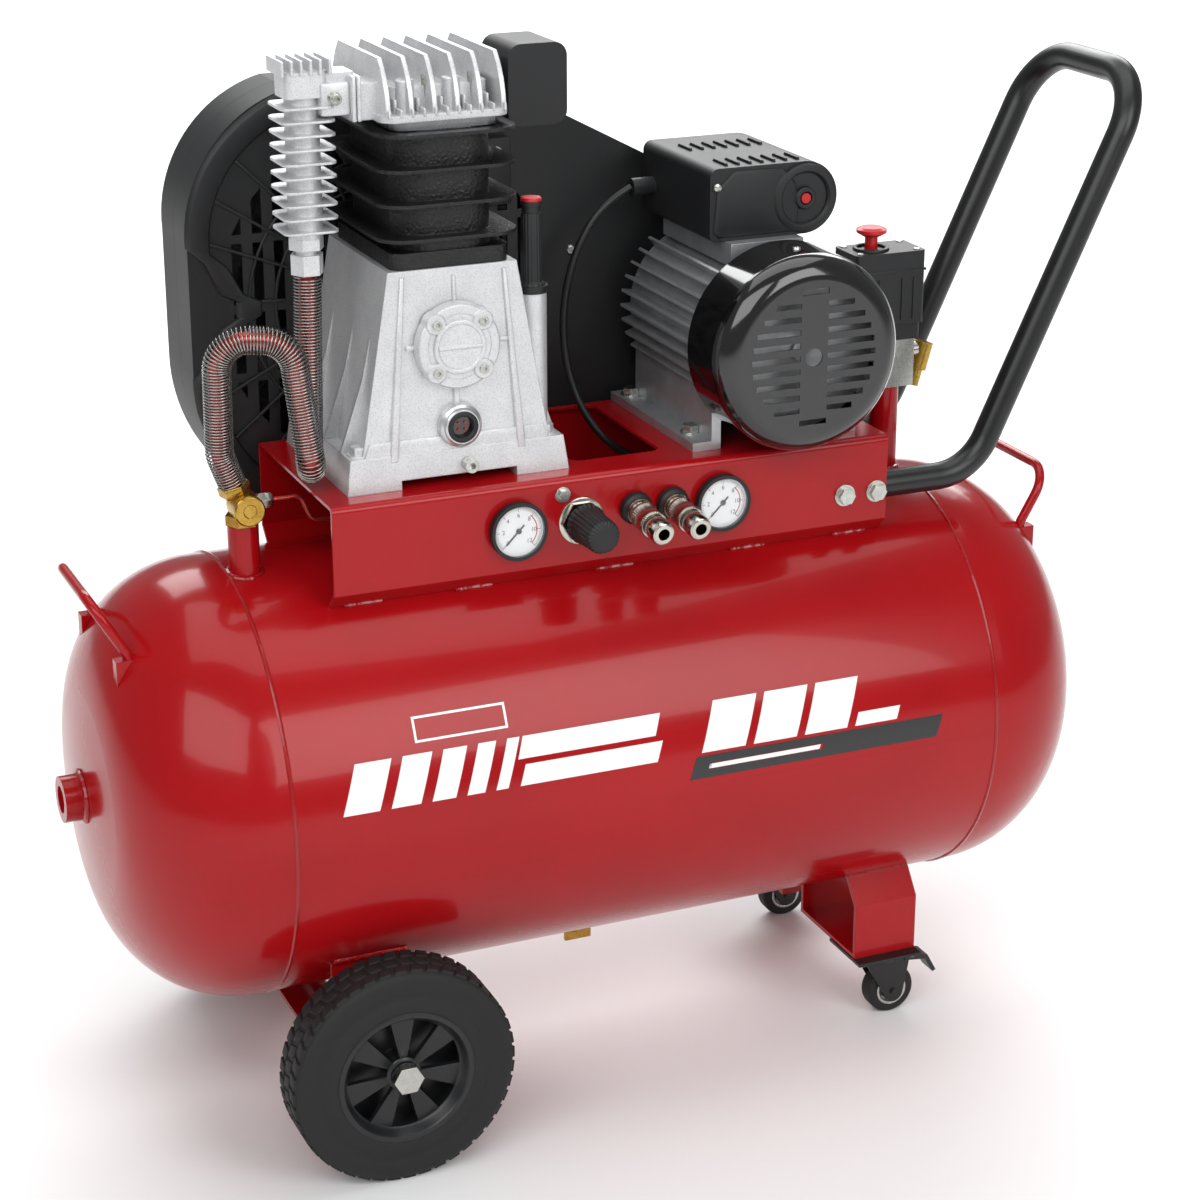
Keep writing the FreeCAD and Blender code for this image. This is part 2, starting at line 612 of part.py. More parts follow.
def caster_brake(name, sign):
    """Foot lever on the trailing side, hinged on a rivet through the cheeks."""
    width = "(caster_tread + 2*fork_gap - 1)"
    arm_loop = [
        ("2", "-3"), ("23", "-5.5"), ("32", "-21"), ("35.5", "-19.5"), ("26", "-2"), ("2", "3"),
    ]
    arm = plate(name + "_arm", [arm_loop], "front", width,
                (BRAKE_X, f"{sign}caster_y + {width}/2", BRAKE_Z))
    barrel = ring(name + "_barrel", "3.5", "1.5 + axle_fit", width,
                  (BRAKE_X, f"{sign}caster_y - {width}/2", BRAKE_Z), Y)
    way = rod(name + "_way", "1.5 + axle_fit", f"{width} + 2",
              (BRAKE_X, f"{sign}caster_y - {width}/2 - 1", BRAKE_Z), Y)
    return cut(name, fuse(name + "_outer", arm, barrel), way)


for name, sign in sides("caster_fork"):
    node(caster_fork(name, sign))
for name, sign in sides("caster_wheel"):
    node(caster_wheel(name, sign))
for name, sign in sides("caster_brake"):
    node(caster_brake(name, sign))


# ---------------------------------------------------------------- fasteners
COVER_Y = "(case_front + 3 - cover_thick)"


def hex_screw(name, at, axis, radius="8", height="5.5"):
    """Hexagon head on a washer with a short shank behind them."""
    behind = axis*-1
    washer = rod(name + "_washer", f"{radius} + 2", "1.5", at, axis)
    head = hexagon(name + "_head", radius, f"{height} + 1.5", at, axis)
    shank = rod(name + "_shank", f"{radius}/2", "8", at, behind)
    return fuse(name, washer, head, shank)


hex_parts = []
for side, sign, axis in (("front", "-", Y*-1), ("rear", "", Y)):
    for label in ("a", "b"):
        hex_parts.append(hex_screw(f"handle_bolt_{side}_{label}",
                                   (f"handle_bolt_{label}", f"{sign}deck_half", "handle_z"), axis))
for index, (dx, y) in enumerate(((-67, "-48"), (-67, "81"), (67, "-48"), (67, "81"))):
    hex_parts.append(hex_screw(f"motor_bolt_{index}", (f"motor_x + {dx}", y, "deck_z + 8"), Z))
hex_parts.append(hex_screw("panel_screw", ("-56", "front", "deck_z - 14.5"), Y*-1, "5", "3"))
hex_bolts = node(group("hex_bolts", *hex_parts))


def cap_screw(name, at, axis, radius, height):
    """Socket head screw."""
    head = rod(name + "_head", radius, height, at, axis)
    socket = hexagon(name + "_socket", f"{radius}*0.55", height, at, axis)
    shank = rod(name + "_shank", f"{radius}*0.6", "9", at, axis*-1)
    socket_at = [f"({part}) + {value}*{height}*0.5"
                 for part, value in zip(at, (axis.x, axis.y, axis.z))]
    put(socket, socket_at)
    return fuse(name, cut(name + "_sunk", head, socket), shank)


cap_parts = []
for index in range(4):
    cos, sin = round_about(index, 4, 45.0)
    at = (f"pump_x + {cos}*cover_screws", COVER_Y, f"crank_z + {sin}*cover_screws")
    cap_parts.append(cap_screw(f"cover_screw_{index}", at, Y*-1, "4", "5"))
for index, (dx, dy) in enumerate(((-10, -50), (-10, 50), (30, -50), (30, 50), (10, 0))):
    at = (f"pump_x + {dx}", f"pump_y + {dy}", "head_z + head_base + 20")
    cap_parts.append(cap_screw(f"head_screw_{index}", at, Z, "5", "8"))
cap_parts.append(cap_screw("oil_drain_screw", ("pump_x + 8", "case_front + 1", "deck_z + 16"),
                           Y*-1, "6", "10"))
cap_screws = node(group("cap_screws", *cap_parts))


# ---------------------------------------------------------------- base frame and handle
def base_section():
    """Folded sheet across the tank: a flat deck, two skirts and lips that lean in."""
    half, gauge, bend = "deck_half", "deck_gauge", "bend_radius"
    skirt, low = "(deck_z - skirt_drop)", "(deck_z - skirt_drop - lip_run)"
    left = [
        (f"-({half} - lip_run)", low), (f"-({half} - lip_run) + {gauge}*1.4", low),
        (f"-({half} - {gauge})", f"{skirt} + 1.2"),
        (f"-({half} - {gauge})", f"deck_z - {bend}"),
        (f"-({half} - {bend})", f"deck_z - {gauge}", f"{bend} - {gauge}", -1),
    ]
    right = [
        (f"{half} - {bend}", f"deck_z - {gauge}"),
        (f"{half} - {gauge}", f"deck_z - {bend}", f"{bend} - {gauge}", -1),
        (f"{half} - {gauge}", f"{skirt} + 1.2"),
        (f"{half} - lip_run - {gauge}*1.4", low), (f"{half} - lip_run", low),
        (half, skirt), (half, f"deck_z - {bend}"),
        (f"{half} - {bend}", "deck_z", bend, 1), (f"-({half} - {bend})", "deck_z"),
        (f"-{half}", f"deck_z - {bend}", bend, 1), (f"-{half}", skirt),
    ]
    return left + right


base_sheet = plate("base_sheet", [base_section()], "right", "deck_left + deck_right",
                   ("-deck_left", "0", "0"))
window = plate("window", [rounded("window_left", "window_right", "window_front", "window_rear",
                                  "window_corner")], "up", "20", ("0", "0", "deck_z - 10"))
panel_holes = []
for name, x, z, radius in (
        ("hole_gauge_left", "gauge_x_left", "control_z", "8"),
        ("hole_gauge_right", "gauge_x_right", "control_z", "8"),
        ("hole_regulator", "regulator_x", "control_z", "13"),
        ("hole_coupler_left", "coupler_x_left", "coupler_z", "coupler_radius + 1"),
        ("hole_coupler_right", "coupler_x_right", "coupler_z", "coupler_radius + 1")):
    panel_holes.append(rod(name, radius, "20", (x, "front - 10", z), Y))
node(cut("base_frame", base_sheet, window, tank_solid("tank_trim_base", "0"), hex_bolts,
         *panel_holes))

handle_top = "handle_height - handle_tube"
handle_far = "handle_reach - handle_tube"
handle_route = []
for sign in ("-", ""):
    leg = [("handle_start", f"{sign}handle_y", "handle_z"),
           ("handle_knee", f"{sign}handle_y", "handle_z"),
           (handle_far, f"{sign}handle_y", handle_top)]
    handle_route += leg if sign else leg[::-1]
bend = num("handle_bend")
handle_pipe = tube("handle_pipe", handle_route, [bend, bend, bend, bend], "handle_tube",
                   "handle_tube - handle_wall")
node(cut("push_handle", handle_pipe, hex_bolts))


# ---------------------------------------------------------------- pump
def crankcase():
    """Cast case: a broad foot, a tapering body with a hollow for the crank, and its bosses."""
    foot = frustum("case_foot", ("case_foot_x", "case_foot_y"),
                   ("case_foot_x - 4", "case_foot_y - 3"), "case_foot_height",
                   ("pump_x", "pump_y", "deck_z"))
    body = frustum("case_body", ("case_foot_x - 16", "case_foot_y - 6"),
                   ("case_top_x", "case_top_y"), "case_height - case_foot_height",
                   ("pump_x", "pump_y", "deck_z + case_foot_height"))
    seat = rod("case_seat", "cover_radius + 2", "case_foot_y - 10",
               ("pump_x", "case_front + 3", "crank_z"), Y)
    tail = rod("case_tail", "bearing_radius + 8", "case_foot_y",
               ("pump_x", "pump_y", "crank_z"), Y)
    glass_seat = rod("case_glass_seat", "sight_radius + 4", "30",
                     ("pump_x + 2", "case_front + 3", "deck_z + sight_height"), Y)
    tower = rod("case_tower", "filler_radius", "filler_top - 8",
                ("filler_x", "filler_y", "deck_z + 8"))
    tower_foot = block("case_tower_foot", ("34", "40", "26"),
                       ("filler_x - 26", "filler_y - 13", "deck_z + 4"))
    body_all = fuse("case_outer", foot, body, seat, tail, glass_seat, tower, tower_foot)
    hollow = frustum("case_hollow", ("case_foot_x - 48", "case_foot_y - 17"),
                     ("case_top_x - case_wall", "case_top_y - case_wall"),
                     "case_height - 12 + 0.01", ("pump_x", "pump_y", "deck_z + 12"))
    shaft_way = rod("case_shaft_way", "bearing_radius", "3*case_foot_y",
                    ("pump_x", "case_front", "crank_z"), Y)
    filler_way = rod("case_filler_way", "plug_radius + plug_fit", "60",
                     ("filler_x", "filler_y", "deck_z + filler_top - 40"))
    glass_way = rod("case_glass_way", "sight_radius - 3", "60",
                    ("pump_x + 2", "case_front", "deck_z + sight_height"), Y)
    notch = block("case_notch_cut", ("2*(case_foot_x - foot_pad)", "4*case_foot_y", "case_notch"),
                  ("pump_x - case_foot_x + foot_pad", "-2*case_foot_y", "deck_z"))
    return cut("crankcase", body_all, hollow, shaft_way, filler_way, glass_way, notch,
               cap_screws)


node(crankcase())

cover_flange = rod("cover_flange", "cover_radius", "cover_thick", ("pump_x", COVER_Y, "crank_z"), Y)
cover_face = rod("cover_face", "cover_radius - 12", "2", ("pump_x", f"{COVER_Y} - 2", "crank_z"), Y)
cover_rib = block("cover_rib", ("2*cover_radius - 28", "3.5", "3"),
                  ("pump_x - cover_radius + 14", f"{COVER_Y} - 3.5", "crank_z - 1.5"))
cover_lip = rod("cover_lip", "bearing_radius - 0.2", "3", ("pump_x", "case_front + 3", "crank_z"), Y)
cover_all = fuse("cover_all", cover_flange, cover_face, cover_rib, cover_lip)
node(cut("bearing_cover", cover_all, cap_screws))

glass_y = "case_front + 3"
glass_ring = ring("glass_ring", "sight_radius", "sight_radius - 4", "4",
                  ("pump_x + 2", f"{glass_y} - 4", "deck_z + sight_height"), Y)
glass_disc = rod("glass_disc", "sight_radius - 4", "2",
                 ("pump_x + 2", f"{glass_y} - 2.5", "deck_z + sight_height"), Y)
node(fuse("sight_glass", glass_ring, glass_disc))

plug_stem = rod("plug_stem", "plug_radius", "plug_top - filler_top + 36",
                ("filler_x", "filler_y", "deck_z + filler_top - 36"))
plug_cap = rod("plug_cap", "plug_radius + 1", "4", ("filler_x", "filler_y", "deck_z + plug_top"))
plug_collar = rod("plug_collar", "filler_radius + 1", "6",
                  ("filler_x", "filler_y", "deck_z + filler_top + 0.2"))
node(fuse("oil_filler_plug", plug_stem, plug_cap, plug_collar))


def cylinder_block():
    """Cast iron block: two bores in one core, with fins around it."""
    core = plate("block_core", [rounded("-core_x", "core_x", "-core_y", "core_y", "30")], "up",
                 "block_height", ("pump_x", "pump_y", "case_top"))
    parts = [core]
    reach_x, reach_y = "(core_x + fin_reach)", "(core_y + fin_reach*2/3)"
    foot = plate("block_foot", [rounded("-(core_x + 8)", "core_x + 8", "-(core_y + 2)",
                                        "core_y + 2", "10")], "up", "14",
                 ("pump_x", "pump_y", "case_top"))
    parts.append(foot)
    for index in range(int(num("fin_count"))):
        at = ("pump_x", "pump_y", f"case_top + 24 + {index}*(block_height - 28)/(fin_count - 1)")
        loop = rounded(f"-{reach_x}", reach_x, f"-{reach_y}", reach_y, "26")
        parts.append(plate(f"block_fin_{index}", [loop], "up", "fin_gauge", at))
    bores = [rod(f"block_bore_{index}", "bore_radius", "block_height + 2",
                 ("pump_x", y, "case_top - 1"))
             for index, y in enumerate(("cylinder_front", "cylinder_rear"))]
    return cut("cylinder_block", fuse("block_outer", *parts), *bores)


node(cylinder_block())

valve_body = plate("valve_body", [rounded("-(core_x + 2)", "core_x + 2", "-(core_y - 2)",
                                          "core_y - 2", "12")], "up", "plate_thick",
                   ("pump_x", "pump_y", "block_top"))
valve_ports = [rod(f"valve_port_{index}", "5", "20", (f"pump_x + {dx}", y, "block_top - 5"))
               for index, (dx, y) in enumerate(((-14, "cylinder_front"), (14, "cylinder_front"),
                                                (-14, "cylinder_rear"), (14, "cylinder_rear")))]
node(cut("valve_plate", valve_body, *valve_ports))


def head_fin(index, tall):
    """One upright fin; its front and rear edges curve back from the base to the top."""
    top = f"head_base + {tall}"
    span = "(head_y - 3)"
    loop = [
        (f"-{span}", "head_base - 1"), (span, "head_base - 1"),
        (f"{span} - 20", top, "60", 1), (f"-{span} + 20", top),
    ]
    loop[0] = (f"-{span}", "head_base - 1", "60", 1)
    middle = "(head_pitch*2.5)"
    at = (f"pump_x - {middle} + {index}*head_pitch - head_fin_gauge/2", "pump_y", "head_z")
    return plate(f"head_fin_{index}", [loop], "right", "head_fin_gauge", at)


head_plate = plate("head_plate", [rounded("-head_x", "head_x", "-head_y", "head_y", "14")], "up",
                   "head_base", ("pump_x", "pump_y", "head_z"))
head_box = plate("head_box", [rounded("-(head_x - 12)", "head_x - 12", "-(head_y - 20)",
                                      "head_y - 20", "10")], "up", "head_base + 20",
                 ("pump_x", "pump_y", "head_z"))
head_pad = block("head_pad", ("22", "34", "30"),
                 ("pump_x - head_x - 16", "cooler_y - 17", "head_z + 1"))
head_fins = [head_fin(index, "head_fin") for index in range(6)]
head_all = fuse("head_all", head_plate, head_box, head_pad, *head_fins)
node(cut("cylinder_head", head_all, cap_screws))

filter_shell = plate("filter_shell", [rounded("0", "filter_width", "0", "filter_height", "12")],
                     "front", "filter_depth",
                     ("filter_left", "filter_front + filter_depth", "deck_z + filter_base"))
filter_neck = rod("filter_neck", "12", "filter_left - (pump_x + head_x - 12)",
                  ("pump_x + head_x - 12", "filter_front + 30", "head_z + 19"), X)
filter_all = fuse("filter_all", filter_shell, filter_neck)
head_clear = fuse("head_clear", plate("head_clear_box", [rounded(
    "-(head_x - 12)", "head_x - 12", "-(head_y - 20)", "head_y - 20", "10")], "up",
    "head_base + 20", ("pump_x", "pump_y", "head_z")), head_fin(5, "head_fin"))
node(cut("air_filter", filter_all, head_clear))


PIPE_ROUTE = [
    ("cooler_x", "cooler_y", "deck_z + cooler_low - 30"), ("-257", "-30", "deck_z + 18.5"),
    ("-264", "-62", "deck_z + 18.5"), ("-279", "-62", "deck_z + 134"),
    ("-337", "-44", "deck_z + 138"), ("-334", "-28", "deck_z + 34"),
    ("inlet_x - 4", "inlet_y", "inlet_z + 27"),
]
PIPE_BENDS = [16.0, 16.0, 27.0, 27.0, 30.0]


def aftercooler():
    """Finned outlet column: a round core with square fins, a top box and a hex at its foot."""
    low = "(deck_z + cooler_low)"
    high = f"({low} + cooler_pitch*(cooler_fins - 1))"
    core = rod("cooler_core", "cooler_core", f"cooler_pitch*(cooler_fins - 1) + 30",
               ("cooler_x", "cooler_y", f"{low} - 6"))
    parts = [core]
    loop = rounded("-cooler_fin", "cooler_fin", "-cooler_fin", "cooler_fin", "8")
    for index in range(int(num("cooler_fins"))):
        parts.append(plate(f"cooler_fin_{index}", [loop], "up", "2",
                           ("cooler_x", "cooler_y", f"{low} + {index}*cooler_pitch")))
    box = plate("cooler_box", [rounded("-18", "18", "-17", "17", "6")], "up", "21",
                ("cooler_x", "cooler_y", f"{high} + 8"))
    parts.append(box)
    for index in range(6):
        at = (f"cooler_x - 22 + {index}*8", "cooler_y - 20", f"{high} + 27")
        parts.append(block(f"cooler_top_fin_{index}", ("2.4", "40", "12"), at))
    bridge = block("cooler_bridge", ("pump_x - head_x - 16 - cooler_x", "28", "18"),
                   ("cooler_x", "cooler_y - 14", f"{high} + 9"))
    parts.append(bridge)
    parts.append(hexagon("cooler_hex", "15", "10", ("cooler_x", "cooler_y", f"{low} - 16")))
    parts.append(rod("cooler_neck", "9", "6", ("cooler_x", "cooler_y", f"{low} - 21")))
    parts.append(hexagon("cooler_nut", "14", "17", ("cooler_x", "cooler_y", f"{low} - 37")))
    way = tube("cooler_way", PIPE_ROUTE, PIPE_BENDS, "pipe_radius")
    return cut("aftercooler", fuse("cooler_outer", *parts), way)


node(aftercooler())


# ---------------------------------------------------------------- crank train
def crank_end(at_y, length, name):
    return rod(name, "journal_radius", length, ("pump_x", at_y, "crank_z"), Y)


def crankshaft():
    """Crank with one throw: journals, three webs and two pins, all at the foot of the stroke."""
    front, rear = "(pump_y - case_foot_y + 12)", "(guard_front + 8)"
    web_at = ["(cylinder_front - 22)", "(pump_y - web_thick/2)", "(cylinder_rear + 13)"]
    journals = [
        crank_end(front, f"{web_at[0]} - {front}", "journal_front"),
        crank_end(f"{web_at[2]} + web_thick", f"flywheel_y + 20 - {web_at[2]} - web_thick",
                  "journal_rear"),
    ]
    webs = [rod(f"crank_web_{index}", "web_radius", "web_thick", ("pump_x", y, "crank_z"), Y)
            for index, y in enumerate(web_at)]
    pin = rod("crank_pin", "pin_radius", f"{web_at[2]} - {web_at[0]}",
              ("pump_x", web_at[0], "crank_z - throw"), Y)
    plug_way = rod("crank_plug_way", "4.05", "web_thick + 1",
                   ("pump_x", f"{web_at[0]} - 1", "crank_z - throw/2"), Y)
    return cut("crankshaft", fuse("crank_outer", *journals, *webs, pin), plug_way)


node(crankshaft())
node(rod("crank_plug", "4", "web_thick - 4", ("pump_x", "cylinder_front - 22 + 0.5",
                                              "crank_z - throw/2"), Y))


def conrod(name, y):
    """Connecting rod with a split big end; the small end carries a short gudgeon stub."""
    big = ring(name + "_big", "17", "pin_radius + journal_fit", "14",
               ("pump_x", f"{y} - 7", "crank_z - throw"), Y)
    small = rod(name + "_small", "8.5", "16", ("pump_x", f"{y} - 8",
                                               "crank_z - throw + rod_length"), Y)
    shank = block(name + "_shank", ("10", "8", "rod_length - 22"),
                  ("pump_x - 5", f"{y} - 4", "crank_z - throw + 15"))
    return fuse(name, big, small, shank)


def piston(name, y):
    """Skirted piston with three ring grooves, hollow from below."""
    radius = "bore_radius - piston_gap"
    foot = "-22"
    corners = [("0", "14"), ("29", "14"), ("29", foot), (radius, foot), (radius, "8")]
    level = 8
    for _ in range(3):
        corners += [(f"{radius} - 2", str(level)), (f"{radius} - 2", str(level + 2)),
                    (radius, str(level + 2)), (radius, str(level + 5))]
        level += 5
    corners += [(radius, "26"), ("0", "26")]
    del corners[-3]
    return lathe(name, corners, Z, ("pump_x", y, "crank_z - throw + rod_length"))


node(group("conrods", conrod("conrod_front", "cylinder_front"),
           conrod("conrod_rear", "cylinder_rear")))
node(group("pistons", piston("piston_front", "cylinder_front"),
           piston("piston_rear", "cylinder_rear")))

bearing_front = ring("bearing_front", "bearing_radius", "journal_radius + journal_fit", "14",
                     ("pump_x", "case_front + 7", "crank_z"), Y)
bearing_rear = ring("bearing_rear", "bearing_radius", "journal_radius + journal_fit", "16",
                    ("pump_x", "case_rear - 19", "crank_z"), Y)
node(group("main_bearings", bearing_front, bearing_rear))


# ---------------------------------------------------------------- belt drive
def grooved(outer, hub, bore, width, depth):
    """Half section of a V grooved wheel from its bore out, about its middle plane."""
    half = f"{width}/2"
    return [
        (bore, f"-({hub})"), (outer, f"-{half}"), (outer, "-(belt_width/2 + belt_gap)"),
        (f"{outer} - {depth}", "-(belt_width/4)"), (f"{outer} - {depth}", "belt_width/4"),
        (outer, "belt_width/2 + belt_gap"), (outer, half), (bore, hub),
    ]


def flywheel():
    """Cast wheel: a grooved rim, six spokes that blow air over the pump, and a hub."""
    inner = "(flywheel_radius - rim_depth)"
    rim_loop = grooved("flywheel_radius", "flywheel_width/2", inner, "flywheel_width",
                       "groove_depth")
    at = ("pump_x", "flywheel_y", "crank_z")
    parts = [lathe("flywheel_rim", rim_loop, Y, at)]
    hub_at = ("pump_x", "flywheel_y - flywheel_width/2", "crank_z")
    parts.append(rod("flywheel_hub", "flywheel_hub", "flywheel_width", hub_at, Y))
    count = int(num("spoke_count"))
    for index in range(count):
        name = f"flywheel_spoke_{index}"
        spoke = doc.addObject("Part::Box", name)
        bind(spoke, "Length", f"{inner} - flywheel_hub + 10")
        bind(spoke, "Width", "8")
        bind(spoke, "Height", "spoke_width")
        angle = 360.0*index/count + 30.0
        turn = FreeCAD.Rotation(Y, -angle).multiply(FreeCAD.Rotation(X, 30))
        spoke.Placement = FreeCAD.Placement(FreeCAD.Vector(), turn)
        along = turn.multVec(X)
        across = turn.multVec(Z)
        deep = turn.multVec(Y)
        places = []
        for axis in ("x", "y", "z"):
            a, b, c = (round(getattr(vector, axis), 6) for vector in (along, across, deep))
            places.append(f"{a}*(flywheel_hub - 5) - {b}*spoke_width/2 - {c}*4")
        put(spoke, (f"pump_x + {places[0]}", f"flywheel_y + {places[1]}",
                    f"crank_z + {places[2]}"))
        parts.append(spoke)
    bore = rod("flywheel_bore", "journal_radius", "2*flywheel_width",
               ("pump_x", "flywheel_y - flywheel_width", "crank_z"), Y)
    return cut("flywheel", fuse("flywheel_outer", *parts), bore)


node(flywheel())

pulley_loop = grooved("pulley_radius", "11", "shaft_radius", "22", "groove_depth")
node(lathe("motor_pulley", pulley_loop, Y, ("motor_x", "flywheel_y", "motor_z")))


def belt():
    """V belt round both wheels, lying just clear of the groove walls."""
    big = num("flywheel_radius + 0.4")
    small = num("pulley_radius + 0.4")
    height = num("belt_height")
    width = num("belt_width") - 0.6
    side = num("flywheel_y") - width/2
    start = FreeCAD.Vector(num("pump_x"), side, num("crank_z"))
    end = FreeCAD.Vector(num("motor_x"), side, num("motor_z"))
    span = end - start
    tilt = math.atan2(span.z, span.x)
    lean = math.acos((big - small)/span.Length)

    def loop(depth):
        """The belt's line at one depth below its back."""
        edges = []
        stops = []
        for centre, radius in ((start, big - depth), (end, small - depth)):
            for turn in (lean, -lean):
                angle = tilt + turn
                point = FreeCAD.Vector(math.cos(angle), 0, math.sin(angle))*radius + centre
                stops.append(point)
        far = FreeCAD.Vector(math.cos(tilt), 0, math.sin(tilt))
        edges.append(Part.Arc(stops[0], start - far*(big - depth), stops[1]).toShape())
        edges.append(Part.LineSegment(stops[1], stops[3]).toShape())
        edges.append(Part.Arc(stops[3], end + far*(small - depth), stops[2]).toShape())
        edges.append(Part.LineSegment(stops[2], stops[0]).toShape())
        return Part.Wire(edges)

    piece = doc.addObject("Part::Feature", "v_belt_band")
    piece.Shape = Part.Face(loop(0)).cut(Part.Face(loop(height))).extrude(Y*width)
    piece.Placement = FreeCAD.Placement(FreeCAD.Vector(-num("origin_x"), 0, 0),
                                        FreeCAD.Rotation())
    return piece


belt_band = belt()
belt_trims = []
for name, x, z, radius in (("big", "pump_x", "crank_z", "flywheel_radius"),
                           ("small", "motor_x", "motor_z", "pulley_radius")):
    wall = [
        (f"{radius} + 1", "belt_width/2 - 0.1"), (f"{radius} + 1", "belt_width"),
        (f"{radius} - groove_depth - 1", "belt_width"),
        (f"{radius} - groove_depth - 1", "belt_width/4 - 0.5"),
    ]
    for side, axis in (("rear", Y), ("front", Y*-1)):
        belt_trims.append(lathe(f"belt_trim_{name}_{side}", wall, axis, (x, "flywheel_y", z)))
node(cut("v_belt", belt_band, *belt_trims))


def guard_loop(inset):
    """The belt guard's outline, seen from the front: round at the flywheel, low at the motor."""
    left, right = f"(guard_left + {inset})", f"(guard_right - {inset})"
    top, low = f"(guard_top - {inset})", f"(guard_bottom + {inset})"
    return [
        ("guard_left + 68", low, f"158 - {inset}", 1), ("pump_x + 100", low),
        (f"{right} - 36", f"deck_z - 12 + {inset}"), (right, f"deck_z + 24"),
        (right, "motor_z + 52"), (f"{right} - 34", f"motor_z + 84 - {inset}"),
        ("pump_x + 96", top), ("guard_left + 95", top), (left, "guard_top - 130",
                                                         f"125 - {inset}", 1),
        (left, "guard_bottom + 130"),
    ]


def guard_half(name, start, sign):
    """One moulded half: a face plate with slots over the flywheel and a rim to the middle."""
    depth = "guard_depth/2"
    at = ("0", f"{start} + {depth}", "0")
    shell = plate(name + "_shell", [guard_loop("0")], "front", depth, at)
    inside_at = ("0", f"{start} + {depth}{' + 1' if sign else ' - guard_wall'}", "0")
    inside = plate(name + "_inside", [guard_loop("guard_wall")], "front",
                   f"{depth} - guard_wall + 1", inside_at)
    slots = []
    for index in range(15):
        offset = f"({index} - 7)*slot_pitch"
        size = ("slot_width", "40", "2*flywheel_radius - 20")
        at = (f"pump_x + {offset} - slot_width/2", f"{start} + {depth} - 40"
              if sign else f"{start} + {depth}", "crank_z - flywheel_radius + 10")
        slots.append(block(f"{name}_slot_{index}", size, at))
    disc = rod(name + "_disc", "flywheel_radius + 2", "200",
               ("pump_x", "guard_front - 40", "crank_z"), Y)
    window_cut = common(name + "_window", fuse(name + "_slots", *slots), disc)
    bars = [block(f"{name}_bar_{index}", ("2*flywheel_radius", "200", "8"),
                  ("pump_x - flywheel_radius", "guard_front - 40", f"crank_z + {level}"))
            for index, level in enumerate((-66, -4, 58))]
    bars.append(rod(name + "_centre", "46", "200", ("pump_x", "guard_front - 40", "crank_z"), Y))
    openings = cut(name + "_openings", window_cut, *bars)
    return cut(name, shell, inside, openings)


guard_tools = [
    rod("guard_shaft_way", "34.5", "30", ("pump_x", "guard_front - 10", "crank_z"), Y),
    rod("guard_motor_way", "30", "30", ("motor_x", "guard_front - 10", "motor_z"), Y),
]
node(cut("belt_guard_front", guard_half("guard_half_front", "guard_front", "-"), *guard_tools))
node(guard_half("belt_guard_rear", "guard_middle + 0.2", ""))


# ---------------------------------------------------------------- motor
def motor_body():
    """Extruded stator case with fins and two foot rails, closed by two end shields."""
    length = "motor_rear - motor_front"
    barrel = rod("motor_barrel", "motor_radius", length, ("motor_x", "motor_front", "motor_z"), Y)
    parts = [barrel]
    count = 36
    for index in range(count):
        cos, sin = round_about(index, count)
        if sin < -0.75 or (sin > 0.8 and abs(cos) < 0.6):
            continue
        fin = doc.addObject("Part::Box", f"motor_fin_{index}")
        bind(fin, "Length", "motor_fin + 2")
        bind(fin, "Width", f"{length} - 4")
        bind(fin, "Height", "2.6")
        fin.Placement = FreeCAD.Placement(FreeCAD.Vector(), FreeCAD.Rotation(Y, -10.0*index))
        put(fin, (f"motor_x + {cos}*(motor_radius - 2) + {sin}*1.3", "motor_front + 2",
                  f"motor_z + {sin}*(motor_radius - 2) - {cos}*1.3"))
        parts.append(fin)
    for side, shift in (("left", "-motor_foot_x"), ("right", "motor_foot_x - foot_width")):
        parts.append(block(f"motor_foot_{side}", ("foot_width", "motor_foot_y1 - motor_foot_y0",
                                                  "8"),
                           (f"motor_x + {shift}", "motor_foot_y0", "deck_z")))
    for side, shift in (("left", "-motor_foot_x + foot_width - 9"),
                        ("right", "motor_foot_x - foot_width")):
        parts.append(block(f"motor_leg_{side}", ("9", f"{length} - 7", "shaft_height - 38"),
                           (f"motor_x + {shift}", "motor_front + 7", "deck_z")))
    parts.append(block("motor_seat", ("2*motor_foot_x - 60", f"{length} - 7", "32"),
                       ("motor_x - motor_foot_x + 30", "motor_front + 7",
                        "motor_z - motor_radius - 2")))
    parts.append(block("motor_box_seat", ("70", f"{length} - 30", "20"),
                       ("motor_x - 40", "motor_front + 20", "motor_z + motor_radius - 4")))
    outer = fuse("motor_outer", *parts)
    hollow = rod("motor_hollow", "motor_radius - 9", f"{length} - 2*shield_thick",
                 ("motor_x", "motor_front + shield_thick", "motor_z"), Y)
    way = rod("motor_way", "shaft_radius + shaft_fit", f"{length} + 20",
              ("motor_x", "motor_front - 10", "motor_z"), Y)
    return cut("motor_body", outer, hollow, way, hex_bolts)


node(motor_body())

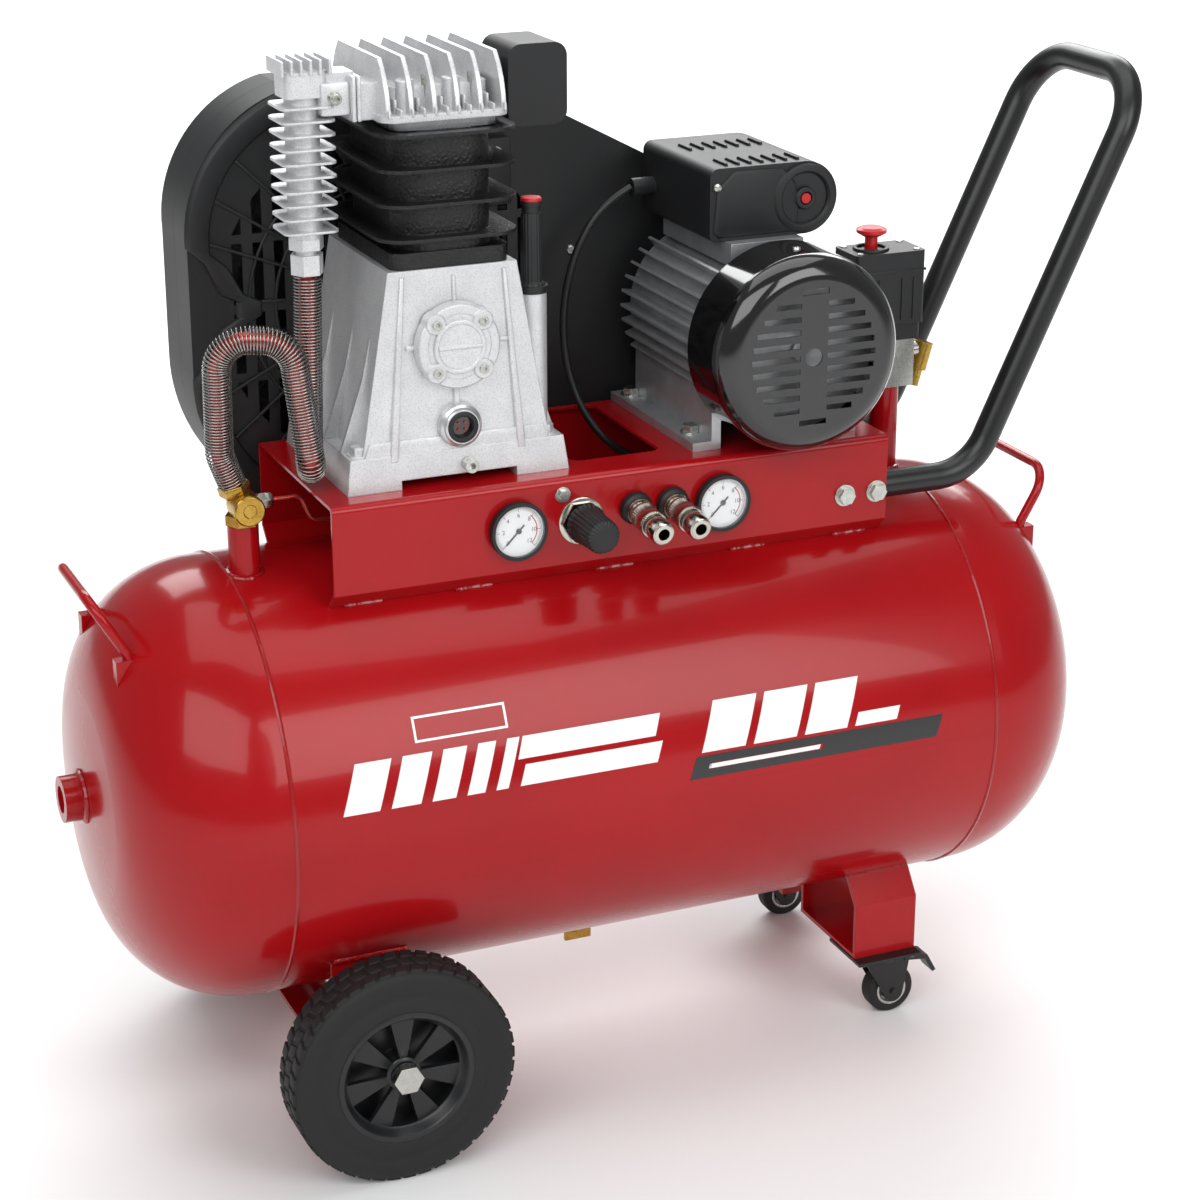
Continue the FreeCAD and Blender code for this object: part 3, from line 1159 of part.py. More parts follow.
rotor_core = rod("rotor_core", "motor_radius - 22", "motor_rear - motor_front - 60",
                 ("motor_x", "motor_front + 30", "motor_z"), Y)
rotor_shaft = rod("rotor_shaft", "shaft_radius", "flywheel_y + 11 - cowl_front - 22",
                  ("motor_x", "cowl_front + 22", "motor_z"), Y)
fan_disc = rod("fan_disc", "fan_radius", "3", ("motor_x", "cowl_front + 26", "motor_z"), Y)
fan_hub = rod("fan_hub", "18", "20", ("motor_x", "cowl_front + 26", "motor_z"), Y)
fan_blades = []
for index in range(8):
    cos, sin = round_about(index, 8)
    blade = doc.addObject("Part::Box", f"fan_blade_{index}")
    bind(blade, "Length", "fan_radius - 20")
    blade.Width = 22
    blade.Height = 3
    blade.Placement = FreeCAD.Placement(FreeCAD.Vector(), FreeCAD.Rotation(Y, -45.0*index))
    put(blade, (f"motor_x + {cos}*18 + {sin}*1.5", "cowl_front + 27",
                f"motor_z + {sin}*18 - {cos}*1.5"))
    fan_blades.append(blade)
node(fuse("motor_rotor", rotor_core, rotor_shaft, fan_disc, fan_hub, *fan_blades))


def fan_cowl():
    """Pressed steel cowl: round over the fan, with rows of slots and a hole in its face."""
    wall, length = "cowl_wall", "(motor_front + 6 - cowl_front)"
    corners = [
        ("8", "0"), ("cowl_radius - cowl_round", "0"),
        ("cowl_radius", "cowl_round", "cowl_round", 1), ("cowl_radius", length),
        (f"cowl_radius - {wall}", length), (f"cowl_radius - {wall}", "cowl_round"),
        ("cowl_radius - cowl_round", wall, f"cowl_round - {wall}", -1), ("8", wall),
    ]
    shell = lathe("cowl_shell", corners, Y, ("motor_x", "cowl_front", "motor_z"))
    slots = []
    for side, sign in (("left", -1), ("right", 1)):
        for index in range(9):
            rise = (index - 4)*11.5
            half = 0.5*math.sqrt(60.0**2 - rise**2) - 7.0
            middle = sign*(half + 13.0)
            slots.append(block(f"cowl_slot_{side}_{index}", (str(round(2*half, 2)), "6", "5"),
                               (f"motor_x + {round(middle - half, 2)}", "cowl_front - 2",
                                f"motor_z + {rise} - 2.5")))
    for index, rise in enumerate((-57.5, 57.5)):
        slots.append(block(f"cowl_slot_end_{index}", ("26", "6", "5"),
                           ("motor_x - 13", "cowl_front - 2", f"motor_z + {rise} - 2.5")))
    return cut("fan_cowl", shell, *slots)


node(fan_cowl())


# The motor cable: from the box's gland down through the deck's window, along under the deck
# and up to the pressure switch. Its points are chosen by hand.
CABLE_ROUTE = [
    ("box_left - 21", "65", "motor_z + 111"), ("54", "65.5", "769"), ("26", "64", "728"),
    ("13", "62", "674"), ("14", "54", "622"), ("27", "38", "578"), ("56", "28", "545"),
    ("105", "31", "532"), ("165", "38", "531"), ("222", "43", "534"), ("268", "42", "546"),
    ("289", "33", "577"), ("switch_left + 16", "switch_front + 31", "switch_z - 18"),
]


def cord_radii(corners):
    """The largest tangent arc that each corner's two runs allow."""
    points = [FreeCAD.Vector(*[num(part) for part in corner]) for corner in corners]
    radii = []
    for before, point, after in zip(points, points[1:], points[2:]):
        turn = (point - before).getAngle(after - point)
        run = min((point - before).Length, (after - point).Length)
        radii.append(0.45*run/math.tan(turn/2))
    return radii


cable_radii = cord_radii(CABLE_ROUTE)
cable = node(tube("motor_cable", CABLE_ROUTE, cable_radii, "cable_radius"))
cable_path = bent_path([[num(part) for part in corner] for corner in CABLE_ROUTE], cable_radii)


def terminal_box():
    """Moulded box on the motor with the capacitor's barrel along its right side."""
    depth = "(box_rear - box_front)"
    loop = [
        ("box_left", "box_base + 6"), ("box_left + 6", "box_base", "6", 1),
        ("box_right", "box_base"),
        ("box_right + box_height/2", "box_base + box_height/2", "box_height/2", 1),
        ("box_right", "box_base + box_height", "box_height/2", 1),
        ("box_left + 8", "box_base + box_height"),
        ("box_left", "box_base + box_height - 8", "8", 1),
    ]
    shell = plate("box_shell", [loop], "front", depth, ("0", "box_rear", "motor_z"))
    hollow = block("box_hollow", ("box_right - box_left - 16", f"{depth} - 6", "box_height - 12"),
                   ("box_left + 4", "box_front + 3", "motor_z + box_base + 4"))
    gland = rod("box_gland", "8", "22", ("box_left - 21", "65", "motor_z + 111"), X)
    way = rod("box_gland_way", "cable_radius", "40", ("box_left - 22", "65", "motor_z + 111"), X)
    way = fuse("box_cable_way", way, cable)
    button_way = rod("box_button_way", "button_radius + 0.3", "14",
                     ("box_right", "box_front - 2", "motor_z + box_base + box_height/2"), Y)
    return cut("terminal_box", fuse("box_outer", shell, gland), hollow, way, button_way)


node(terminal_box())
node(rod("reset_button", "button_radius", "12",
         ("box_right", "box_front - 4", "motor_z + box_base + box_height/2"), Y))

# ---------------------------------------------------------------- air line
UNLOADER_ROUTE = [
    ("inlet_x + 14", "inlet_y", "inlet_z + 18"), ("inlet_x + 52", "inlet_y", "inlet_z + 18"),
    ("inlet_x + 60", "inlet_y - 2", "inlet_z - 4"), ("inlet_x + 130", "inlet_y - 6", "inlet_z - 8"),
]
main_pipe = tube("main_pipe", PIPE_ROUTE, PIPE_BENDS, "pipe_radius")
thin_pipe = tube("thin_pipe", UNLOADER_ROUTE, [9.0, 9.0], "2")
node(group("copper_pipes", main_pipe, thin_pipe))

COIL_ROUTE = [
    ("cooler_x - 0.3", "cooler_y", "deck_z + cooler_low - 39"), *PIPE_ROUTE[1:-1],
    ("inlet_x - 6.5", "inlet_y - 0.5", "inlet_z + 33"),
]
node(tube("pipe_guard", COIL_ROUTE, PIPE_BENDS, "guard_coil", "guard_coil - 2"))

valve_hex = hexagon("valve_hex", "15", "9", ("inlet_x", "inlet_y", "inlet_z"))
valve_neck = rod("valve_neck", "9", "12", ("inlet_x", "inlet_y", "inlet_z + 6"))
valve_body_ball = ball("valve_ball", "13", ("inlet_x", "inlet_y", "inlet_z + 18"))
valve_front = rod("valve_front", "13", "19", ("inlet_x", "inlet_y - 19", "inlet_z + 18"), Y)
valve_lip = FreeCAD.Vector(-5, -1, 16).normalize()
valve_elbow = rod("valve_elbow", "10", "20", ("inlet_x", "inlet_y", "inlet_z + 12"), valve_lip)
valve_side = rod("valve_side", "6", "17", ("inlet_x", "inlet_y", "inlet_z + 18"), X)
valve_all = fuse("valve_all", valve_hex, valve_neck, valve_body_ball, valve_front, valve_elbow,
                 valve_side)
node(cut("check_valve", valve_all, tube("pipe_trim", PIPE_ROUTE, PIPE_BENDS, "pipe_radius"),
         tube("thin_trim", UNLOADER_ROUTE, [9.0, 9.0], "2")))


# ---------------------------------------------------------------- controls
def switch_box():
    """Pressure switch: a moulded cover on a narrower base with a cable gland."""
    size_x, size_y = "switch_width", "switch_depth"
    cover = plate("switch_cover", [rounded("0", size_x, "0", size_y, "4")], "up",
                  "switch_height - 16", ("switch_left", "switch_front", "switch_z + 16"))
    base = plate("switch_foot", [rounded("4", f"{size_x} - 1", "4", f"{size_y} - 4", "4")], "up",
                 "17", ("switch_left", "switch_front", "switch_z"))
    gland = rod("switch_gland", "8", "18", ("switch_left + 16", "switch_front + 31",
                                            "switch_z - 18"))
    way = rod("switch_knob_way", "6.4", "30", ("switch_left + 26", "switch_front + 22",
                                               "switch_z + switch_height - 20"))
    return cut("pressure_switch", fuse("switch_outer", cover, base, gland), way, cable)


node(switch_box())
knob_at = ("switch_left + 26", "switch_front + 22", "switch_z + switch_height")
knob_stem = rod("knob_stem", "6", "26", (knob_at[0], knob_at[1], f"{knob_at[2]} - 12"))
knob_cap = lathe("knob_cap", [("0", "13"), ("9", "13"), ("switch_knob", "16"),
                              ("switch_knob", "19"), ("10", "21"), ("0", "21")], Z, knob_at)
node(fuse("switch_knob", knob_stem, knob_cap))

manifold_block = block("manifold_block", ("32", "30", "switch_base + tank_top + deck_rise - outlet_z"),
                       ("outlet_x - 10", "outlet_y - 15", "outlet_z"))
manifold_arm = rod("manifold_arm", "7", "10", ("outlet_x + 22", "outlet_y", "outlet_z + 30"), X)
manifold_all = fuse("manifold_all", manifold_block, manifold_arm)
safety_axis = FreeCAD.Vector(-0.28, 0, -1).normalize()
safety_at = ("outlet_x + 32 + 9", "outlet_y", "outlet_z + 36")
safety_body = rod("safety_body", "9", "26", safety_at, safety_axis)
safety_nose = rod("safety_nose", "6", "42", safety_at, safety_axis)
safety_valve = node(fuse("safety_valve", safety_body, safety_nose))
node(cut("switch_manifold", manifold_all, safety_valve))


def gauge(name, x):
    """Panel gauge: a case with a raised bezel, and a stem through the panel."""
    corners = [
        ("0", "0"), ("7", "0"), ("7", "12"), ("gauge_radius - 2", "12"),
        ("gauge_radius", "14"), ("gauge_radius", "12 + gauge_reach"),
        ("gauge_radius - 3", "12 + gauge_reach"), ("gauge_radius - 3", "12 + gauge_reach - 4"),
        ("0", "12 + gauge_reach - 4"),
    ]
    return lathe(name, corners, Y*-1, (x, "front + 12", "control_z"))


def needle(name, x):
    """Pointer on the dial's middle, lying at zero at the lower left."""
    front = "front - gauge_reach + 4.4"
    hub = rod(name + "_hub", "2.4", "1.6", (x, f"{front} - 2", "control_z"), Y)
    hand = doc.addObject("Part::Box", name + "_hand")
    bind(hand, "Length", "gauge_radius - 2")
    hand.Width = 0.8
    hand.Height = 1.2
    hand.Placement = FreeCAD.Placement(FreeCAD.Vector(), FreeCAD.Rotation(Y, -45))
    cos = round(math.cos(math.radians(45)), 6)
    put(hand, (f"{x} - {cos}*(gauge_radius - 9) + 0.42", f"{front} - 1.6",
               f"control_z + {cos}*(-gauge_radius + 9) - 0.42"))
    return fuse(name, hub, hand)


node(group("gauge_cases", gauge("gauge_left", "gauge_x_left"),
           gauge("gauge_right", "gauge_x_right")))
node(needle("needle_left", "gauge_x_left"))
node(needle("needle_right", "gauge_x_right"))

body_block = block("outlet_block", ("coupler_x_right - regulator_x + 30", "26", "26"),
                   ("regulator_x - 15", "front + 14", "control_z - 13"))
regulator_neck = rod("regulator_neck", "12.5", "36", ("regulator_x", "front - 20", "control_z"), Y)
regulator_nut = hexagon("regulator_nut", "20", "6", ("regulator_x", "front - 6", "control_z"), Y)
tilt = math.radians(num("coupler_tilt"))
outward = FreeCAD.Vector(0, -math.cos(tilt), -math.sin(tilt))
coupler_parts = []
coupler_ways = []
for name, x in (("left", "coupler_x_left"), ("right", "coupler_x_right")):
    root = (x, "front + 18", "coupler_z + 2")
    stem = [
        ("0", "0"), ("7", "0"), ("7", "22"), ("coupler_radius", "22"), ("coupler_radius", "30"),
        ("coupler_radius - 3", "30"), ("coupler_radius - 3", "coupler_reach + 18"),
        ("0", "coupler_reach + 18"),
    ]
    coupler_parts.append(lathe(f"coupler_body_{name}", stem, outward, root))
    coupler_ways.append(rod(f"coupler_way_{name}", "coupler_bore", "coupler_reach + 18",
                            root, outward))
outlets = fuse("outlet_outer", body_block, regulator_neck, regulator_nut, *coupler_parts)
coupler_trim = fuse("coupler_trim", *coupler_ways)
node(cut("outlet_manifold", outlets, coupler_trim))

knob_profile = [
    ("12.9", "0"), ("knob_radius + 2", "0"), ("knob_radius + 2", "5"), ("knob_radius", "7"),
    ("knob_radius - 1", "regulator_reach - 12"), ("knob_radius - 3", "regulator_reach - 10"),
    ("0", "regulator_reach - 10"), ("0", "12"), ("12.9", "12"),
]
node(lathe("regulator_knob", knob_profile, Y*-1, ("regulator_x", "front - 10", "control_z")))

for name, x in (("left", "coupler_x_left"), ("right", "coupler_x_right")):
    low, high = "36", "36 + sleeve_length"
    inner = "coupler_radius - 3 + sleeve_gap"
    sleeve = [
        (inner, low), ("coupler_radius", low), ("coupler_radius + 1", f"{low} + 2"),
        ("coupler_radius + 1", f"{high} - 2"), ("coupler_radius", high), (inner, high),
    ]
    node(lathe(f"coupler_sleeve_{name}", sleeve, outward, (x, "front + 18", "coupler_z + 2")))


# ---------------------------------------------------------------- check and write
doc.recompute()
faults = [item.Name for item in doc.Objects if {"Invalid", "Error"} & set(item.State)]
for piece in nodes:
    shape = piece.Shape
    if shape.isNull() or not shape.isValid() or not shape.Solids:
        faults.append(piece.Label)
if faults:
    raise RuntimeError("pieces that failed: " + ", ".join(faults))
for radius in cable_radii:
    print(f"motor cable bend radius {radius:.0f} mm")
ideal = math.pi*num("cable_radius")**2*cable_path.Length
print(f"motor cable {cable_path.Length:.0f} mm, volume ratio {cable.Shape.Volume/ideal:.4f}")

os.makedirs("parts", exist_ok=True)
for piece in nodes:
    piece.Shape.exportStep(f"parts/{piece.Label}.step")
print(len(nodes), "nodes written")
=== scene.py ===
import logging
import math
import random
from dataclasses import dataclass
from enum import Enum
from itertools import product
from typing import Sequence

import bmesh
import bpy
from mathutils import Matrix, Vector


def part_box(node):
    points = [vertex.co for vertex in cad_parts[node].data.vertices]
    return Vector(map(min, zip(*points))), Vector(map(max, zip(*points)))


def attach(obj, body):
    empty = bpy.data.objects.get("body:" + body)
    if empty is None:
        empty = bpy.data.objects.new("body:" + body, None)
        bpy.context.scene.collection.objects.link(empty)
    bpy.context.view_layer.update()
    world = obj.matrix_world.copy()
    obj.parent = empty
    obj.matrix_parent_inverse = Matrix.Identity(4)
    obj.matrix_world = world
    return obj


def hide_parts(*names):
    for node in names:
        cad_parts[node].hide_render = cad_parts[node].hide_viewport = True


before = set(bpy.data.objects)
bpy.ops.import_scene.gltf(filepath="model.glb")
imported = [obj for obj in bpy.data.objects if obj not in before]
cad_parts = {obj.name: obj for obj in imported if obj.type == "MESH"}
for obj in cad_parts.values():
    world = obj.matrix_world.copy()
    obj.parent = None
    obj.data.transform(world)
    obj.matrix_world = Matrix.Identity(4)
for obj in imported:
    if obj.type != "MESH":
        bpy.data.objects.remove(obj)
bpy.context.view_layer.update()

logging.basicConfig(level=logging.INFO, format="%(message)s")
log = logging.getLogger("compressor")

ORIGIN_X = 24.45  # the tank's middle stands this far left of the row's own origin, mm
STAND = "stand"
Point = tuple[float, float, float]
Pair = tuple[float, float]


class Axis(Enum):
    """Directions that turned and pressed parts point in."""

    RIGHT = (1.0, 0.0, 0.0)
    LEFT = (-1.0, 0.0, 0.0)
    REAR = (0.0, 1.0, 0.0)
    FRONT = (0.0, -1.0, 0.0)
    UP = (0.0, 0.0, 1.0)

    @property
    def vector(self) -> Vector:
        """The direction as a unit vector."""
        return Vector(self.value)


class Texture(Enum):
    """How a surface was made, which sets the shape of its grain."""

    ORANGE_PEEL = "orange_peel"
    # Cast grain: pitted relief, with the bottom of each pit painted darker as painted shade.
    CAST = "cast"
    MOULDED = "moulded"
    BRUSHED = "brushed"


def mm(x: float, y: float, z: float) -> Vector:
    """A point given in millimetres about the tank's middle, in metres in the row's frame."""
    return Vector(((x - ORIGIN_X) / 1000.0, y / 1000.0, z / 1000.0))


def linear(code: str) -> tuple[float, float, float, float]:
    """Turn an sRGB hex colour to linear light.

    Args:
        code: six hex digits.

    Returns:
        Linear red, green and blue, and full opacity.
    """
    parts = [int(code[i:i + 2], 16) / 255.0 for i in (0, 2, 4)]
    return *(p / 12.92 if p <= 0.04045 else ((p + 0.055) / 1.055) ** 2.4 for p in parts), 1.0


def ray(degrees: float) -> Vector:
    """The upright direction at an angle, measured up from the right."""
    turn = math.radians(degrees)
    return Vector((math.cos(turn), 0, math.sin(turn)))


def add_node(tree: bpy.types.NodeTree, kind: str, settings: dict | None = None,
             links: dict | None = None) -> bpy.types.Node:
    """Add one shader node.

    Args:
        tree: the material's node tree.
        kind: the node's type name.
        settings: attributes, or input sockets by name or number, to set.
        links: input sockets by name or number, each with the output socket that feeds it.

    Returns:
        The new node.
    """
    node = tree.nodes.new(kind)
    for key, value in (settings or {}).items():
        if isinstance(key, str) and hasattr(node, key) and key not in node.inputs:
            setattr(node, key, value)
        else:
            node.inputs[key].default_value = value
    for key, socket in (links or {}).items():
        tree.links.new(socket, node.inputs[key])
    return node


@dataclass(frozen=True)
class Finish:
    """One real surface: what it is made of and how it was worked.

    Sizes are millimetres. The grain is the fine relief, the mottle is the slow change of
    colour and gloss across the part, and the edge is the softened corner that catches light.
    A grain that is finer than about a millimetre on the real surface, such as sand or blast
    texture, is drawn as coarse as it needs to be to show.
    """

    name: str
    colour: str
    tint: str
    metallic: float = 0.0
    roughness: float = 0.5
    swing: float = 0.08
    texture: Texture = Texture.MOULDED
    grain: float = 1.0
    depth: float = 0.03
    mottle: float = 40.0
    edge: float = 0.6
    coat: float = 0.0
    ior: float = 1.5
    alpha: float = 1.0
    slot: str = ""

    def build(self) -> bpy.types.Material:
        """Make the material, or give back the one already made.

        Returns:
            The material.
        """
        made = bpy.data.materials.get(self.name)
        if made:
            return made
        material = bpy.data.materials.new(self.name)
        material.use_nodes = True
        tree = material.node_tree
        tree.nodes.clear()
        place = add_node(tree, "ShaderNodeTexCoord").outputs["Object"]
        fine_place = place
        if self.texture is Texture.BRUSHED:
            fine_place = add_node(tree, "ShaderNodeMapping", {"Scale": (1.0, 1.0, 14.0)},
                                  {"Vector": place}).outputs["Vector"]
        slow = add_node(tree, "ShaderNodeTexNoise",
                        {"Scale": 1000.0 / self.mottle, "Detail": 4.0, "Roughness": 0.6},
                        {"Vector": place}).outputs["Fac"]
        fine = add_node(tree, "ShaderNodeTexNoise",
                        {"Scale": 1000.0 / self.grain,
                         "Detail": 1.0 if self.texture is Texture.ORANGE_PEEL else 3.0},
                        {"Vector": fine_place}).outputs["Fac"]
        spread = add_node(tree, "ShaderNodeMapRange", {"From Min": 0.25, "From Max": 0.75},
                          {"Value": slow}).outputs["Result"]
        paint = add_node(tree, "ShaderNodeMix",
                         {"data_type": "RGBA", 6: linear(self.colour), 7: linear(self.tint)},
                         {0: spread}).outputs[2]
        if self.texture is Texture.CAST:
            # Painted shade: the colour is darkened to 72 % at the bottom of each pit of the cast
            # grain, where the bump sinks lowest.
            pits = add_node(tree, "ShaderNodeTexVoronoi", {"Scale": 1000.0 / (self.grain * 1.7)},
                            {"Vector": place}).outputs["Distance"]
            dark = add_node(tree, "ShaderNodeMapRange",
                            {"From Min": 0.0, "From Max": 0.5, "To Min": 0.72, "To Max": 1.0},
                            {"Value": pits})
            paint = add_node(tree, "ShaderNodeMix",
                             {"data_type": "RGBA", "blend_type": "MULTIPLY", 0: 1.0},
                             {6: paint, 7: dark.outputs["Result"]}).outputs[2]
            fine = add_node(tree, "ShaderNodeMath", {"operation": "ADD"},
                            {0: fine, 1: pits}).outputs[0]
        gloss = add_node(tree, "ShaderNodeMapRange",
                         {"To Min": max(self.roughness - self.swing, 0.02),
                          "To Max": min(self.roughness + self.swing, 1.0)}, {"Value": slow})
        corner = add_node(tree, "ShaderNodeBevel", {"Radius": self.edge / 1000.0, "samples": 4})
        relief = add_node(tree, "ShaderNodeBump",
                          {"Strength": 0.6, "Distance": self.depth / 1000.0},
                          {"Height": fine, "Normal": corner.outputs["Normal"]})
        shader = add_node(tree, "ShaderNodeBsdfPrincipled",
                          {"Metallic": self.metallic, "Coat Weight": self.coat,
                           "Coat Roughness": 0.04, "Alpha": self.alpha, "IOR": self.ior},
                          {"Base Color": paint, "Roughness": gloss.outputs["Result"],
                           "Normal": relief.outputs["Normal"]})
        if self.coat:
            tree.links.new(corner.outputs["Normal"], shader.inputs["Coat Normal"])
        add_node(tree, "ShaderNodeOutputMaterial", {}, {"Surface": shader.outputs["BSDF"]})
        return material


# Stoving enamel on welded steel: a deep wet red with a faint orange peel.
RED_ENAMEL = Finish("red_stoving_enamel", "980A10", "A60D13", roughness=0.2, swing=0.05,
                    texture=Texture.ORANGE_PEEL, grain=4.0, depth=0.05, mottle=160.0,
                    edge=1.0, coat=0.2, ior=1.3, slot="red_paint")
# The same enamel over a rough weld bead: broken, sparkling highlights, and painted shade in the
# bead's pits.
RED_WELD = Finish("red_enamel_over_weld", "920A0F", "A20D12", roughness=0.22, swing=0.06,
                  texture=Texture.CAST, grain=2.4, depth=0.35, mottle=30.0, coat=0.5,
                  ior=1.35, slot="red_paint")
# Powder coat on tube: satin black with a soft highlight.
BLACK_POWDER = Finish("black_powder_coat", "0E0F10", "141516", roughness=0.33, swing=0.06,
                      texture=Texture.ORANGE_PEEL, grain=2.0, depth=0.05, mottle=60.0,
                      slot="black_paint")
# Gloss paint on pressed steel: near black with sharp reflections.
BLACK_GLOSS = Finish("black_gloss_paint", "0B0B0C", "101011", roughness=0.12, swing=0.03,
                     texture=Texture.ORANGE_PEEL, grain=5.0, depth=0.02, mottle=90.0, coat=0.7,
                     slot="gloss_black")
# Sand cast, shot blasted aluminium: bright, sparkling, slightly uneven.
CAST_ALUMINIUM = Finish("sand_cast_aluminium", "E2E3E4", "D2D3D5", metallic=0.6, roughness=0.42,
                        swing=0.07, texture=Texture.CAST, grain=0.9, depth=0.12, mottle=22.0,
                        edge=1.4, slot="cast_aluminium")
# Machined faces of the same casting: flat, silky and a little darker than the cast skin.
CUT_ALUMINIUM = Finish("machined_aluminium", "D2D3D4", "C2C4C6", metallic=0.9, roughness=0.3,
                       texture=Texture.BRUSHED, grain=0.6, depth=0.02, slot="cast_aluminium")
# Extruded aluminium, left dull and grey by its mill finish.
DULL_ALUMINIUM = Finish("extruded_aluminium", "C4C6C8", "A2A4A6", metallic=0.7, roughness=0.36,
                        texture=Texture.BRUSHED, grain=1.2, depth=0.03, mottle=35.0,
                        slot="motor_aluminium")
# Grey iron casting under thin black paint: rough, with small glints.
BLACK_IRON = Finish("painted_cast_iron", "121213", "1E1E20", metallic=0.15, roughness=0.4,
                    swing=0.12, texture=Texture.CAST, grain=1.9, depth=0.9, mottle=16.0,
                    edge=1.2, slot="cast_iron")
# Zinc plate on steel: pale, cool, with a slight cloud.
ZINC = Finish("zinc_plated_steel", "CFCFC9", "B5B6B0", metallic=1.0, roughness=0.27,
              grain=0.7, depth=0.02, mottle=7.0, slot="zinc")
# Nickel plate on brass fittings: warm grey with tight, clear reflections.
NICKEL = Finish("nickel_plated_brass", "C8C4BA", "B8B3A8", metallic=1.0, roughness=0.18,
                swing=0.05, grain=0.9, depth=0.01, mottle=12.0, slot="zinc")
# Ground and turned steel: mid grey with fine lines drawn by the tool.
STEEL = Finish("turned_steel", "A3A5A8", "8C8E91", metallic=1.0, roughness=0.28,
               texture=Texture.BRUSHED, grain=0.5, depth=0.01, mottle=14.0, slot="steel")
# Hard drawn spring wire: small bright glints along each turn.
SPRING_STEEL = Finish("spring_wire", "A9A9A6", "8A8985", metallic=1.0, roughness=0.26,
                      grain=0.7, depth=0.01, mottle=9.0, edge=0.2, slot="steel")
# Forged brass fitting: warm yellow, with painted shade darkening the pits of its grain.
BRASS = Finish("forged_brass", "C9A24E", "A88338", metallic=1.0, roughness=0.27,
               texture=Texture.CAST, grain=1.2, depth=0.05, mottle=9.0, edge=0.8, slot="brass")
# Soft drawn copper tube, heat tinted to a pink red.
COPPER = Finish("drawn_copper", "C4524A", "A83A36", metallic=0.85, roughness=0.3, grain=1.2,
                depth=0.02, mottle=18.0, slot="copper")
# ABS with a fine spark eroded texture: soft charcoal sheen.
BLACK_ABS = Finish("textured_black_abs", "111214", "191A1C", roughness=0.5, swing=0.06,
                   grain=0.9, depth=0.05, mottle=70.0, edge=1.0,
                   slot="black_plastic")
# Glass filled nylon of the wheels: smoother and darker.
NYLON = Finish("moulded_black_nylon", "131416", "1B1C1E", roughness=0.34, swing=0.06,
               grain=1.4, depth=0.03, mottle=40.0, edge=0.8, slot="nylon")
# Tyre rubber: matt, faintly dusty on the tread.
RUBBER = Finish("tyre_rubber", "0F0F10", "171717", roughness=0.68,
                texture=Texture.CAST, grain=1.6, depth=0.06, mottle=26.0, edge=0.7,
                slot="rubber")
# Belt rubber: flat charcoal without a highlight.
BELT_RUBBER = Finish("belt_rubber", "161616", "222120", roughness=0.62, grain=1.0, depth=0.04,
                     slot="belt_rubber")
# Cable PVC: black with a soft, wet looking line of light.
CABLE_PVC = Finish("cable_pvc", "131314", "1A1A1B", roughness=0.36, grain=2.0, depth=0.01,
                   slot="cable")
# Injection moulded red plastic: brighter and more orange than the enamel beside it.
RED_PLASTIC = Finish("red_moulded_plastic", "B8121A", "C91C22", roughness=0.3, swing=0.05,
                     grain=1.8, depth=0.02, mottle=15.0, slot="red_plastic")
# Printed dial card: clean matt white.
DIAL_WHITE = Finish("dial_card", "ECEDEE", "E4E6E8", roughness=0.45, grain=1.5, depth=0.005,
                    slot="gauge")
# Dial ink and the painted needles: flat near black.
INK_BLACK = Finish("dial_ink_black", "1A1A1C", "222224", roughness=0.5, depth=0.005,
                   slot="gauge")
# Red dial ink: a flat warning arc.
INK_RED = Finish("dial_ink_red", "B3202C", "BC2A34", roughness=0.5, depth=0.005, slot="gauge")
# Thin clear window: only its reflection shows.
CLEAR = Finish("clear_window", "F4F6F8", "F4F6F8", roughness=0.05, swing=0.02, depth=0.0,
               alpha=0.07, slot="glass")
# Sight glass over oil: almost black with a deep red tint.
OIL_GLASS = Finish("oil_sight_glass", "1A0B0B", "3A1210", roughness=0.1, swing=0.03, mottle=5.0,
                   depth=0.0, coat=0.8, slot="glass")
# White vinyl film laid on the enamel: crisp, opaque and smooth.
VINYL_WHITE = Finish("white_vinyl_film", "F1F1EF", "ECECEA", roughness=0.25, grain=6.0,
                     depth=0.01, coat=0.3, slot="gauge")
# Black vinyl film: the same film under the white stripe.
VINYL_BLACK = Finish("black_vinyl_film", "111113", "171719", roughness=0.25, grain=6.0,
                     depth=0.01, coat=0.3, slot="black_plastic")
# Painted studio floor: matt and nearly white, so that it melts into the light.
PALE_FLOOR = Finish("pale_floor", "F6F6F6", "F4F4F4", roughness=0.75, swing=0.02, mottle=900.0,
                    depth=0.0)


def dress(finish: Finish, *nodes: str) -> None:
    """Give CAD nodes their finish."""
    for node in nodes:
        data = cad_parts[node].data
        data.materials.clear()
        data.materials.append(finish.build())


def show(name: str, data: bpy.types.ID) -> bpy.types.Object:
    """Put new data into the scene as an object."""
    made = bpy.data.objects.new(name, data)
    bpy.context.scene.collection.objects.link(made)
    return made


